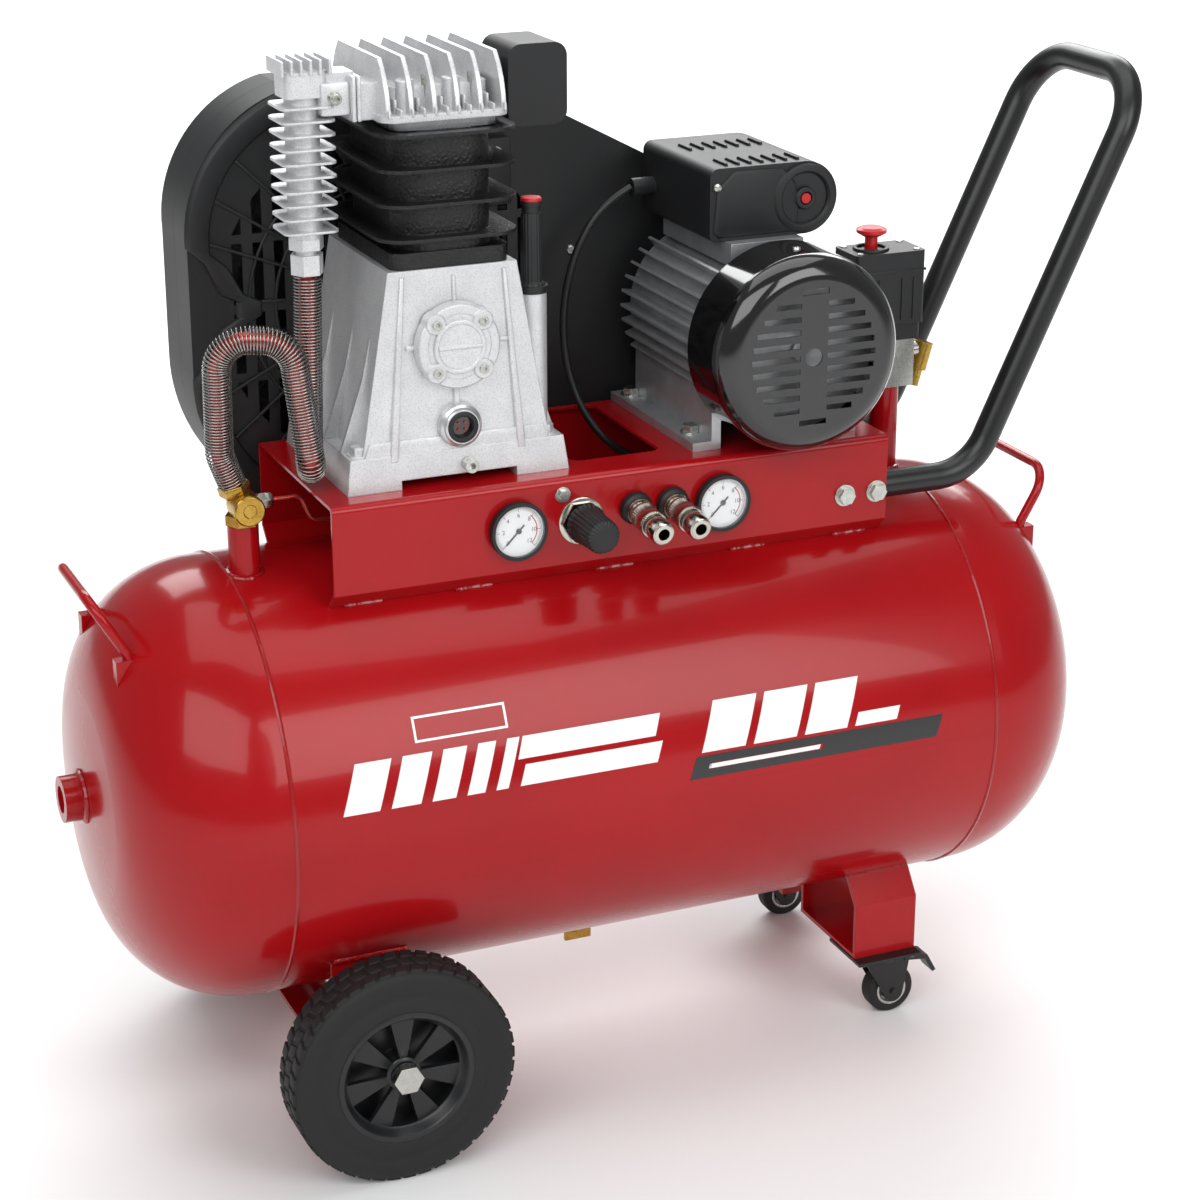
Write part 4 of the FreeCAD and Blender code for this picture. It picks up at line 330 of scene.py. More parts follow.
class Mould:
    """Collects simple solids into one mesh, then casts it as one piece."""

    def __init__(self, name: str) -> None:
        """Start an empty mould with the piece's name."""
        self.name = name
        self.mesh = bmesh.new()

    def box(self, low: Vector, high: Vector, round_off: float) -> "Mould":
        """Add a block with rounded edges.

        Args:
            low: lowest corner in metres.
            high: highest corner in metres.
            round_off: edge radius in millimetres.

        Returns:
            This mould.
        """
        size = high - low
        turn = Matrix.Translation((low + high) / 2) @ Matrix.Diagonal((*size, 1.0))
        made = bmesh.ops.create_cube(self.mesh, size=1.0, matrix=turn)
        edges = {edge for vert in made["verts"] for edge in vert.link_edges}
        bmesh.ops.bevel(self.mesh, geom=list(edges), offset=round_off / 1000.0, segments=2,
                        profile=0.5, affect="EDGES", clamp_overlap=True)
        return self

    def turn(self, profile: Sequence[Pair], centre: Vector, axis: Vector, steps: int = 48,
             flute: float = 0.0, flutes: int = 0) -> "Mould":
        """Add a turned solid.

        Args:
            profile: radius and distance along the axis, in millimetres. One with both ends off
                the axis is closed into a ring.
            centre: where the distance is zero, in metres.
            axis: the way the distance grows.
            steps: facets round the axis.
            flute: depth of grooves cut along the axis, in millimetres.
            flutes: how many grooves there are.

        Returns:
            This mould.
        """
        ahead = axis.normalized()
        side = ahead.orthogonal().normalized()
        over = ahead.cross(side)
        closed = min(profile[0][0], profile[-1][0]) > 0
        rings = []
        for radius, along in [*profile, profile[0]] if closed else profile:
            middle = centre + ahead * (along / 1000.0)
            if not radius:
                rings.append([self.mesh.verts.new(middle)])
                continue
            ring = []
            for angle in (2 * math.pi * step / steps for step in range(steps)):
                reach = radius - flute * (0.5 + 0.5 * math.cos(angle * flutes)) ** 3
                out = side * math.cos(angle) + over * math.sin(angle)
                ring.append(self.mesh.verts.new(middle + out * (reach / 1000.0)))
            rings.append(ring)
        for near, far in zip(rings, rings[1:]):
            for step in range(steps):
                after = (step + 1) % steps
                corners = dict.fromkeys((near[step % len(near)], near[after % len(near)],
                                         far[after % len(far)], far[step % len(far)]))
                if len(corners) > 2:
                    self.mesh.faces.new(corners)
        if len(rings[0]) > 1 and not closed:
            self.mesh.faces.new(rings[0])
        return self

    def wire(self, points: Sequence[Vector], radius: float, sides: int = 8,
             closed: bool = False, ripple: float = 0.0) -> "Mould":
        """Add a round rod that follows points.

        Args:
            points: the middle line in metres.
            radius: the rod's radius in millimetres.
            sides: facets round the rod.
            closed: whether the last point joins the first.
            ripple: how far the radius wanders, in millimetres, as on a weld bead.

        Returns:
            This mould.
        """
        count = len(points)
        normal = None
        rings = []
        wander = random.Random(count)
        for index, point in enumerate(points):
            before = points[index - 1] if index or closed else point
            after = points[(index + 1) % count] if index < count - 1 or closed else point
            ahead = (after - before).normalized()
            if normal is None:
                normal = ahead.orthogonal().normalized()
            normal = (normal - ahead * normal.dot(ahead)).normalized()
            over = ahead.cross(normal)
            reach = (radius + ripple * wander.uniform(-1, 1)) / 1000.0
            rings.append([self.mesh.verts.new(
                point + (normal * math.cos(2 * math.pi * k / sides)
                         + over * math.sin(2 * math.pi * k / sides)) * reach)
                for k in range(sides)])
        pairs = list(zip(rings, rings[1:]))
        if closed:
            pairs.append((rings[-1], rings[0]))
        for near, far in pairs:
            shift = 0
            if closed and far is rings[0]:
                shift = min(range(sides), key=lambda s: (near[0].co - far[s].co).length)
            for k in range(sides):
                self.mesh.faces.new([near[k], near[(k + 1) % sides],
                                     far[(k + 1 + shift) % sides], far[(k + shift) % sides]])
        if not closed:
            self.mesh.faces.new(rings[0])
            self.mesh.faces.new(rings[-1])
        return self

    def slab(self, outline: Sequence[Pair], corner: Vector, along: Vector, up: Vector,
             thickness: float, round_off: float = 0.0, shrink: float = 0.0) -> "Mould":
        """Add a flat plate with a drawn outline.

        Args:
            outline: corners in millimetres, in the plane of along and up.
            corner: where the outline's zero lies, in metres.
            along: first direction of the plane.
            up: second direction of the plane.
            thickness: how far it grows along the plane's normal, in millimetres.
            round_off: edge radius of the far face, in millimetres.
            shrink: how much the far face draws in to its middle, as a share.

        Returns:
            This mould.
        """
        normal = along.cross(up).normalized()
        middle = Vector((sum(u for u, _ in outline), sum(v for _, v in outline))) / len(outline)
        rows = []
        for depth, draw in ((0.0, 0.0), (thickness, shrink)):
            row = []
            for u, v in outline:
                u, v = u + (middle.x - u) * draw, v + (middle.y - v) * draw
                row.append(self.mesh.verts.new(
                    corner + (along * u + up * v + normal * depth) / 1000.0))
            rows.append(row)
        near, far = rows
        count = len(outline)
        self.mesh.faces.new(near[::-1])
        cap = self.mesh.faces.new(far)
        for k in range(count):
            self.mesh.faces.new([near[k], near[(k + 1) % count], far[(k + 1) % count], far[k]])
        if round_off:
            bmesh.ops.bevel(self.mesh, geom=list(cap.edges), offset=round_off / 1000.0,
                            segments=2, profile=0.5, affect="EDGES", clamp_overlap=True)
        return self

    def sheet(self, rows: Sequence[Sequence[Vector]]) -> "Mould":
        """Add a surface patch.

        Args:
            rows: rows of points in metres, each with as many points as the others.

        Returns:
            This mould.
        """
        grid = [[self.mesh.verts.new(point) for point in row] for row in rows]
        for near, far in zip(grid, grid[1:]):
            for k in range(len(near) - 1):
                self.mesh.faces.new([near[k], near[k + 1], far[k + 1], far[k]])
        return self

    def cast(self, finish: Finish, body: str = STAND, stands_for: Sequence[str] = (),
             smooth: float = 35.0) -> bpy.types.Object:
        """Close the mould and make the piece.

        Args:
            finish: the surface it gets.
            body: the CAD body it rides on.
            stands_for: CAD nodes that it replaces.
            smooth: edges sharper than this many degrees stay crisp.

        Returns:
            The new object.
        """
        bmesh.ops.recalc_face_normals(self.mesh, faces=self.mesh.faces)
        data = bpy.data.meshes.new(self.name)
        self.mesh.to_mesh(data)
        self.mesh.free()
        for face in data.polygons:
            face.use_smooth = True
        data.set_sharp_from_angle(angle=math.radians(smooth))
        data.materials.append(finish.build())
        piece = show(self.name, data)
        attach(piece, body)
        if stands_for:
            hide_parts(*stands_for)
        log.info("%s: %d faces on %s", self.name, len(data.polygons), body)
        return piece


def circle(centre: Vector, radius: float, axis: Vector, steps: int) -> list[Vector]:
    """Points on a circle.

    Args:
        centre: its middle in metres.
        radius: its radius in millimetres.
        axis: the way its plane faces.
        steps: how many points.

    Returns:
        The points in metres.
    """
    side = axis.orthogonal().normalized()
    over = axis.normalized().cross(side)
    return [centre + (side * math.cos(2 * math.pi * k / steps)
                      + over * math.sin(2 * math.pi * k / steps)) * (radius / 1000.0)
            for k in range(steps)]


def rounded_path(corners: Sequence[Vector], radii: Sequence[float], step: float) -> list[Vector]:
    """Follow straight runs joined by arcs, evenly sampled.

    Args:
        corners: corner points in metres.
        radii: arc radius at each inner corner, in millimetres.
        step: spacing of the samples in millimetres.

    Returns:
        Points in metres.
    """
    path = [corners[0]]
    for before, corner, after, radius in zip(corners, corners[1:], corners[2:], radii):
        into = (corner - path[-1]).normalized()
        out = (after - corner).normalized()
        half = into.angle(out) / 2
        reach = radius / 1000.0 * math.tan(half)
        start, end = corner - into * reach, corner + out * reach
        centre = corner + (out - into).normalized() * (radius / 1000.0 / math.cos(half))
        count = max(int(radius * 2 * half / step), 3)
        path.append(start)
        a, b = start - centre, end - centre
        for k in range(1, count):
            t = k / count
            path.append(centre + (a * math.sin((1 - t) * 2 * half)
                                  + b * math.sin(t * 2 * half)) / math.sin(2 * half))
        path.append(end)
    path.append(corners[-1])
    even = [path[0]]
    carry = 0.0
    for start, end in zip(path, path[1:]):
        length = (end - start).length * 1000.0
        place = step - carry
        while place <= length:
            even.append(start.lerp(end, place / length))
            place += step
        carry = (carry + length) % step
    return even


@dataclass
class Tank:
    """Air tank: enamel, weld seams, the welded bosses and a plain band of film."""

    radius: float = 195.0
    middle: float = 310.0
    seam_x: float = 331.0
    sunk: float = 0.9
    bead: float = 2.2
    slant: float = 0.35

    def skin(self, x: float, reach: float, lift: float = 0.25) -> Vector:
        """A point on the front of the barrel.

        Args:
            x: distance along the tank in millimetres.
            reach: distance along the skin up from mid height, in millimetres.
            lift: distance off the skin in millimetres.

        Returns:
            The point in metres.
        """
        angle = reach / self.radius
        out = self.radius + lift
        return mm(x, -out * math.cos(angle), self.middle + out * math.sin(angle))

    def edge_z(self, y: float, sign: float) -> float:
        """Height of the barrel's skin at a distance from its middle, above or below it."""
        return self.middle + sign * math.sqrt(self.radius ** 2 - y ** 2)

    def bar(self, mould: Mould, left: float, right: float, low: float, high: float,
            slant: float) -> None:
        """Lay one bar of film on the barrel.

        Args:
            mould: where the film goes.
            left: where its lower edge starts along the tank, in millimetres.
            right: where its lower edge ends.
            low: distance of its lower edge along the skin up from mid height, in millimetres.
            high: the same for its upper edge.
            slant: how far it leans to the right for each millimetre up.
        """
        rows = []
        for k in range(9):
            up = low + (high - low) * k / 8
            lean = slant * (up - low)
            rows.append([self.skin(left + lean + (right - left) * j / 8, up) for j in range(9)])
        mould.sheet(rows)

    def film(self) -> None:
        """Lay the plain slanted bars and the long stripe."""
        white = Mould("film_bars")
        slanted = [(-290.0, -258.0, 30.0, 72.0), (-248.0, -222.0, 30.0, 72.0),
                   (-212.0, -191.0, 30.0, 72.0), (-181.0, -165.0, 30.0, 72.0),
                   (-155.0, -144.0, 30.0, 72.0), (-133.0, -6.0, 53.0, 72.0),
                   (-133.0, -6.0, 30.0, 48.0), (36.0, 78.0, 31.0, 75.0), (86.0, 128.0, 31.0, 75.0),
                   (136.0, 178.0, 31.0, 75.0), (186.0, 228.0, 31.0, 43.0)]
        outline = [(-221.0, -138.0, 81.0, 83.0), (-221.0, -138.0, 101.0, 103.0),
                   (-221.0, -219.0, 83.0, 101.0), (-140.0, -138.0, 83.0, 101.0)]
        for limits in slanted:
            self.bar(white, *limits, self.slant)
        for limits in outline:
            self.bar(white, *limits, 0.0)
        self.bar(white, 42.0, 150.0, 16.0, 20.0, self.slant)
        white.cast(VINYL_WHITE)
        black = Mould("film_stripe")
        for left, right, low, high in ((24.0, 268.0, 20.6, 28.0), (24.0, 268.0, 8.0, 15.4),
                                       (24.0, 41.4, 15.4, 20.6), (150.6, 268.0, 15.4, 20.6)):
            lean = self.slant * (low - 8.0)
            self.bar(black, left + lean, right + lean, low, high, self.slant)
        black.cast(VINYL_BLACK)

    def seams(self) -> None:
        """Weld beads round the barrel at both head joints, and one along it at the back."""
        mould = Mould("tank_seams")
        reach = self.radius - self.sunk
        for x in (-self.seam_x, self.seam_x):
            mould.wire(circle(mm(x, 0, self.middle), reach, Axis.RIGHT.vector, 240), self.bead,
                       closed=True, ripple=0.12)
        angle = math.radians(-128)
        line = [mm(-self.seam_x + 2 * self.seam_x * k / 160, -reach * math.sin(angle),
                   self.middle + reach * math.cos(angle)) for k in range(161)]
        mould.wire(line, self.bead, ripple=0.15)
        mould.cast(RED_WELD)

    def boss_bead(self, mould: Mould, x: float, y: float, radius: float, sign: float) -> None:
        """Run a bead round an upright pipe where it meets the barrel.

        Args:
            mould: where the bead goes.
            x: the pipe's place along the tank, in millimetres.
            y: the pipe's place across the tank.
            radius: radius of the ring in millimetres.
            sign: 1 on the upper skin, -1 on the lower one.
        """
        points = []
        for k in range(48):
            angle = 2 * math.pi * k / 48
            px, py = x + radius * math.cos(angle), y + radius * math.sin(angle)
            points.append(mm(px, py, self.edge_z(py, sign)))
        mould.wire(points, 2.6, closed=True, ripple=0.45)

    def straight_beads(self, mould: Mould, sides: Sequence[float], runs: Sequence[Pair],
                       steps: int, radius: float, sign: float) -> None:
        """Run straight beads along the barrel.

        Args:
            mould: where the beads go.
            sides: distance of each row from the tank's middle plane, in millimetres.
            runs: start and length of each bead, in millimetres.
            steps: how many spans a bead has.
            radius: the bead's radius in millimetres.
            sign: 1 on the upper skin, -1 on the lower one.
        """
        for y in sides:
            for start, length in runs:
                mould.wire([mm(start + length * k / steps, y, self.edge_z(y, sign))
                            for k in range(steps + 1)], radius, ripple=0.6)

    def beads(self) -> None:
        """Weld beads at the risers, the drain, the end port, the frame and the brackets."""
        mould = Mould("weld_beads")
        self.boss_bead(mould, -316.0, -25.0, 14.4, 1.0)
        self.boss_bead(mould, 321.0, 17.0, 14.4, 1.0)
        self.boss_bead(mould, 0.0, 0.0, 15.0, -1.0)
        mould.wire(circle(mm(-463.6, 0, self.middle), 21.6, Axis.LEFT.vector, 48), 3.0,
                   closed=True, ripple=0.5)
        frame_runs = [(-250.0, 34.0), (-150.0, 34.0), (-20.0, 36.0), (110.0, 34.0), (212.0, 34.0)]
        self.straight_beads(mould, (-88.6, 88.6), frame_runs, 14, 2.6, 1.0)
        self.straight_beads(mould, (-151.5, 151.5), [(-290.0, 66.0)], 24, 2.8, -1.0)
        self.straight_beads(mould, (-109.0, -17.5, 17.5, 109.0), [(230.0, 62.0)], 24, 2.8, -1.0)
        mould.cast(RED_WELD)

    def build(self) -> None:
        """Dress the tank, what is welded to it and the bolted push handle."""
        dress(RED_ENAMEL, "tank", "carry_handles", "axle_bracket", "caster_bracket", "base_frame")
        dress(BRASS, "drain_valve")
        dress(BLACK_POWDER, "push_handle")
        self.film()
        self.seams()
        self.beads()


@dataclass
class Wheel:
    """Rear wheel: a treaded tyre, a spoked rim and a domed nut."""

    side: str
    sign: float
    radius: float = 100.1
    rim: float = 61.0
    spokes: int = 7
    spoke_turn: float = 1.75
    blocks: int = 44
    block_half: float = 5.4

    def __post_init__(self) -> None:
        """Take the wheel's place from its CAD tyre."""
        low, high = map(Vector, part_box(f"tyre_{self.side}"))
        self.centre = (low + high) / 2
        self.half = (high.y - low.y) * 500.0
        self.out = Axis.FRONT.vector if self.sign < 0 else Axis.REAR.vector

    def tyre(self) -> None:
        """Carcass with raised side rings, and three rows of tread blocks."""
        half, top = self.half, self.radius
        wall = [(self.rim - 0.5, 1), (self.rim + 3, 0), (70, 0.2), (73, 1.4), (77, 2.4), (81, 1.6),
                (top - 12, 0.2), (top - 8, 0.2), (top - 4.4, 1.6), (top - 2.4, 4), (top - 1.6, 9)]
        mould = Mould(f"tyre_{self.side}_tread")
        mould.turn([(reach, depth - half) for reach, depth in wall]
                   + [(reach, half - depth) for reach, depth in wall[::-1]],
                   self.centre, self.out, 144)
        for index in range(self.blocks):
            for shift, width, lean, pitch in ((-13.6, 11.6, 3.4, 0.0), (0.0, 12.6, -3.4, 0.5),
                                              (13.6, 11.6, 3.4, 0.0)):
                turn = 360.0 * (index + pitch) / self.blocks
                base = self.centre + ray(turn) * ((top - 3.4) / 1000.0) + self.out * (shift / 1000.0)
                block = [(u * self.block_half + v * lean / 2, v * width / 2)
                         for u, v in ((-1, -1), (1, -1), (1, 1), (-1, 1))]
                mould.slab(block, base, ray(turn + 90.0), Axis.FRONT.vector, 3.2, 0.4, 0.05)
        mould.cast(RUBBER, f"wheel_{self.side}", [f"tyre_{self.side}"])

    def rim_and_hub(self) -> None:
        """Deep dished rim with tapered spokes and a stepped hub."""
        half, lip = self.half, self.rim
        mould = Mould(f"rim_{self.side}_spoked")
        barrel = [(lip, -half + 0.5), (lip, half - 0.6), (lip - 1.2, half), (lip - 4.5, half),
                  (lip - 6, half - 1.5), (lip - 8, half - 7), (lip - 10.5, half - 9),
                  (lip - 10.5, half - 14), (lip - 7, half - 16), (lip - 7, -half + 0.5)]
        web = [(15, half - 31), (lip - 7.2, half - 31), (lip - 7.2, half - 28), (15, half - 28)]
        hub = [(10.3, -half + 4), (15.5, -half + 4), (15.5, half - 9), (14.5, half - 8),
               (12.6, half - 7.4), (12.4, half - 4.4), (11.8, half - 4), (10.3, half - 4.4)]
        for profile, steps in ((barrel, 96), (web, 96), (hub, 64)):
            mould.turn(profile, self.centre, self.out, steps)
        spoke = [(13.5, -3.6), (lip - 9.5, -11.2), (lip - 9.5, 11.2), (13.5, 3.6)]
        for index in range(self.spokes):
            radial = ray(360.0 * (index - self.spoke_turn * self.sign) / self.spokes)
            mould.slab(spoke, self.centre + self.out * ((half - 14.2) / 1000.0), radial,
                       self.out.cross(radial), 5.4, 0.8, 0.03)
        mould.cast(NYLON, f"wheel_{self.side}", [f"rim_{self.side}"])

    def nut(self) -> None:
        """Domed cap nut on its washer."""
        face = self.centre + self.out * ((self.half - 4.0) / 1000.0)
        mould = Mould(f"hub_nut_{self.side}")
        mould.turn([(0, 0.1), (10.8, 0.1), (10.8, 1.2), (10.2, 1.6), (0, 1.6)], face, self.out)
        mould.turn([(0, 1.7), (8.8, 1.7), (9.4, 2.3), (9.4, 5.2), (8.6, 6.2), (6.6, 7.0),
                    (4.0, 7.9), (0, 8.4)], face, self.out, 6)
        mould.turn([(0, 5.0), (7.4, 5.0), (6.9, 6.8), (5.0, 8.2), (2.4, 8.7), (0, 8.8)], face,
                   self.out, 32)
        mould.cast(ZINC)

    def build(self) -> None:
        """Make the whole wheel."""
        self.tyre()
        self.rim_and_hub()
        self.nut()


@dataclass
class Casters:
    """Axle and front casters: black forks, rubber rollers with pale hubs, and rivets."""

    x: float = 261.0
    y: float = 111.4
    trail: float = 14.5
    radius: float = 24.0
    tread: float = 18.0
    rivet_x: float = 26.0
    rivet_y: float = 23.0
    rivet_z: float = 67.0

    def hubs(self, side: str, sign: float) -> None:
        """Pale hub rings on both faces of one roller.

        Args:
            side: the roller's name.
            sign: -1 for the front one, 1 for the rear one.
        """
        mould = Mould(f"caster_hub_{side}")
        half = self.tread / 2
        ring = [(3.6, half - 2.2), (15.2, half - 2.2), (15.4, half + 0.2), (14.0, half + 0.6),
                (12.6, half + 0.2), (11.4, half - 1.0), (7.4, half - 1.0), (6.6, half + 0.5),
                (3.6, half + 0.5)]
        for axis in (Axis.FRONT, Axis.REAR):
            mould.turn(ring, mm(self.x + self.trail, sign * self.y, self.radius), axis.vector, 40)
        mould.cast(ZINC, f"caster_roller_{side}")

    def rivets(self) -> None:
        """Four plate rivets under each caster plate."""
        mould = Mould("caster_rivets")
        for sign, dx, dy in product((-1.0, 1.0), (-self.rivet_x, self.rivet_x),
                                    (-self.rivet_y, self.rivet_y)):
            mould.turn([(0, 0.2), (5.2, 0.2), (4.6, -1.8), (2.6, -3.0), (0, -3.4)],
                       mm(self.x + dx, sign * self.y + dy, self.rivet_z), Axis.UP.vector, 20)
        mould.cast(ZINC)

    def build(self) -> None:
        """Dress the axle and both casters."""
        dress(ZINC, "wheel_axle")
        dress(BLACK_POWDER, "caster_plates", "caster_fork_front", "caster_fork_rear")
        dress(RUBBER, "caster_wheel_front", "caster_wheel_rear")
        dress(NYLON, "caster_brake_front", "caster_brake_rear")
        self.hubs("front", -1.0)
        self.hubs("rear", 1.0)
        self.rivets()


@dataclass
class Pump:
    """Twin cylinder pump: case, cover, block, head, filter and filler."""

    x: float = -140.0
    y: float = 5.0
    deck: float = 575.7
    case_height: float = 185.0
    block_height: float = 114.0
    plate: float = 7.0
    crank: float = 695.9
    front: float = -80.0
    flank: float = 27.0
    lean: float = 5.0
    rise: float = 155.0
    foot: float = 30.0
    bolt_ring: float = 29.5

    def case_face(self) -> None:
        """Ribs and bosses cast on the front of the case."""
        mould = Mould("case_ribs")
        up = Vector((0, self.lean, self.rise)).normalized()
        base = mm(self.x, self.front + 7.0, self.deck + self.foot)
        for outline in ([(-61, -6), (-54, -6), (-43, 150), (-47, 150)],
                        [(54, -6), (61, -6), (47, 150), (43, 150)],
                        [(-1.5, 120), (-1.5, 148), (1.5, 148), (2.5, 120)],
                        [(-2.5, 32), (2.5, 32), (2.5, 62), (-2.5, 62)],
                        [(-44, 88), (-30, 88), (-30, 92), (-44, 92)],
                        [(30, 88), (47, 88), (47, 92), (30, 92)]):
            mould.slab(outline, base, Axis.RIGHT.vector, up, 5.0, 0.8)
        skirt = [(-84, -2), (84, -2), (78, 12), (-78, 12)]
        mould.slab(skirt, base, Axis.RIGHT.vector, up, 3.5, 1.2)
        middle = mm(self.x, self.front + 6.0, self.crank)
        for angle in (45, 135, 225, 315):
            mould.turn([(0, 0), (9.2, 0), (8.8, 11.5), (8.0, 12.6), (0, 12.6)],
                       middle + ray(angle) * (self.bolt_ring / 1000.0), Axis.FRONT.vector, 28)
        mould.turn([(28, 0), (36.8, 0), (36.2, 10.0), (35.0, 11.0), (28, 11.0)], middle,
                   Axis.FRONT.vector, 64)
        mould.cast(CAST_ALUMINIUM)

    def case_sides(self) -> None:
        """Corner ribs and foot pads of the case."""
        mould = Mould("case_flanks")
        for sign in (-1.0, 1.0):
            up = Vector((-sign * self.flank / self.rise, 0, 1.0)).normalized()
            for y in (-52.0, -8.0, 44.0):
                mould.slab([(0, 0), (14, 0), (4, 60), (1, 118), (0, 118)],
                           mm(self.x + sign * 82.0, y, self.deck + self.foot),
                           Axis.RIGHT.vector * sign, up, 4.0, 0.8)
            for y in (self.y - 79.0, self.y + 79.0):
                spot = mm(self.x + sign * 84.0, y * 0.86, self.deck + self.foot - 1.0)
                mould.turn([(0, 0), (10.5, 0), (10.0, 2.5), (0, 2.5)], spot, Axis.UP.vector, 24)
                mould.turn([(0, 2.4), (7.6, 2.4), (7.6, 8.4), (6.8, 9.2), (0, 9.2)], spot,
                           Axis.UP.vector, 6)
        mould.cast(CAST_ALUMINIUM)

    def top_joint(self) -> None:
        """Machined flange between the case and the block."""
        top = self.deck + self.case_height
        Mould("case_flange").box(mm(self.x - 55, self.y - 75, top - 7.0),
                                 mm(self.x + 55, self.y + 75, top - 0.2), 1.5).cast(CUT_ALUMINIUM)

    def cover(self) -> None:
        """Raised ring on the bearing cover."""
        profile = [(19.0, 0), (23.5, 0), (23.0, 2.4), (22.4, 2.9), (19.8, 2.9), (19.0, 2.2)]
        Mould("cover_relief").turn(profile, mm(self.x, self.front - 4.0, self.crank),
                                   Axis.FRONT.vector, 64).cast(CAST_ALUMINIUM)

    def sight(self) -> None:
        """Oil sight glass: a bright ring, a black seal and four red marks on the window."""
        centre = mm(self.x + 2.0, self.front + 3.0, self.deck + 50.0)
        ring = [(13.0, 0), (19.0, 0), (18.4, 3.0), (16.0, 4.4), (15.6, 6.4), (14.6, 7.2), (13.0, 7.2)]
        Mould("sight_bezel").turn(ring, centre, Axis.FRONT.vector).cast(CUT_ALUMINIUM)
        seal = [(9.0, 0), (13.6, 0), (13.6, 7.6), (12.6, 8.2), (10.0, 8.2), (9.0, 7.0)]
        Mould("sight_seal").turn(seal, centre, Axis.FRONT.vector).cast(BLACK_ABS)
        mark = Mould("sight_mark")
        for angle in (45, 135, 225, 315):
            mark.turn([(0, 0), (1.0, 0), (0.9, 0.7), (0, 0.8)],
                      centre + ray(angle) * 0.0042 + Axis.FRONT.vector * 0.0031,
                      Axis.FRONT.vector, 16)
        mark.cast(RED_PLASTIC)

    def head(self) -> None:
        """Short ribs and bolt bosses between the head's tall fins."""
        mould = Mould("head_ribs")
        base = self.deck + self.case_height + self.block_height + self.plate
        for x, y in product((self.x + step for step in (-40.0, -20.0, 0.0, 20.0, 40.0)),
                            (self.y - 58, self.y + 42)):
            mould.box(mm(x - 1.5, y, base + 5), mm(x + 1.5, y + 16, base + 17), 1.2)
        for x, y in product((self.x - 30.0, self.x + 10.0), (self.y - 52.0, self.y, self.y + 52.0)):
            mould.turn([(0, 0), (8.2, 0), (7.6, 27), (6.6, 28), (0, 28)], mm(x, y, base + 4),
                       Axis.UP.vector, 28)
        for index in range(11):
            x = self.x - 50.0 + index * 10.0
            mould.box(mm(x - 1.2, self.y - 73.0, base + 4), mm(x + 1.2, self.y - 60.0, base + 11),
                      1.0)
        mould.cast(CAST_ALUMINIUM)

    def cooler(self) -> None:
        """Flange, joint and screw of the cooler."""
        elbow = Mould("cooler_flange").box(mm(-242, -49.5, 888), mm(-217, -10.5, 915.5), 2.5)
        for left in (-217, -212.6):
            elbow.box(mm(left, -54, 883), mm(left + 3.6, -6, 920), 1.0)
        elbow.cast(CAST_ALUMINIUM)
        screw = Mould("cooler_screw")
        for profile in ([(0, 0), (5.6, 0), (5.6, 1.0), (0, 1.0)],
                        [(0, 1.0), (4.6, 1.0), (4.6, 7.2), (4.0, 8.0), (2.6, 8.0), (2.6, 4.0),
                         (0, 4.0)]):
            screw.turn(profile, mm(-231.0, -49.5, 903.0), Axis.FRONT.vector, 28)
        screw.cast(ZINC)

    def filler(self) -> None:
        """Red cap and ribbed sleeve of the oil filler plug."""
        low, high = map(Vector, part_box("oil_filler_plug"))
        top = Vector(((low.x + high.x) / 2, (low.y + high.y) / 2, high.z - 0.0005))
        cap = [(0, 0.4), (8.6, 0.4), (8.9, 1.2), (8.9, 2.6), (8.0, 3.5), (0, 3.8)]
        Mould("filler_cap").turn(cap, top, Axis.UP.vector, 36).cast(RED_PLASTIC, "filler_plug")
        grip = [(8.1, 0), (11.8, 0), (12.2, 4), (11.6, 7), (9.4, 9), (8.9, 66), (8.1, 68)]
        Mould("filler_grip").turn(grip, mm(-62.0, -52.0, self.deck + 152.5), Axis.UP.vector, 72,
                                  flute=0.5, flutes=18).cast(BLACK_ABS, "filler_plug")

    def build(self) -> None:
        """Dress the pump."""
        dress(CAST_ALUMINIUM, "crankcase", "bearing_cover", "cylinder_head", "aftercooler")
        dress(CUT_ALUMINIUM, "conrods", "pistons")
        dress(STEEL, "crankshaft", "crank_plug", "main_bearings", "valve_plate")
        dress(BLACK_IRON, "cylinder_block")
        dress(BLACK_ABS, "air_filter", "oil_filler_plug")
        dress(OIL_GLASS, "sight_glass")
        dress(ZINC, "cap_screws", "hex_bolts")
        self.case_face()
        self.case_sides()
        self.top_joint()
        self.cover()
        self.sight()
        self.head()
        self.cooler()
        self.filler()


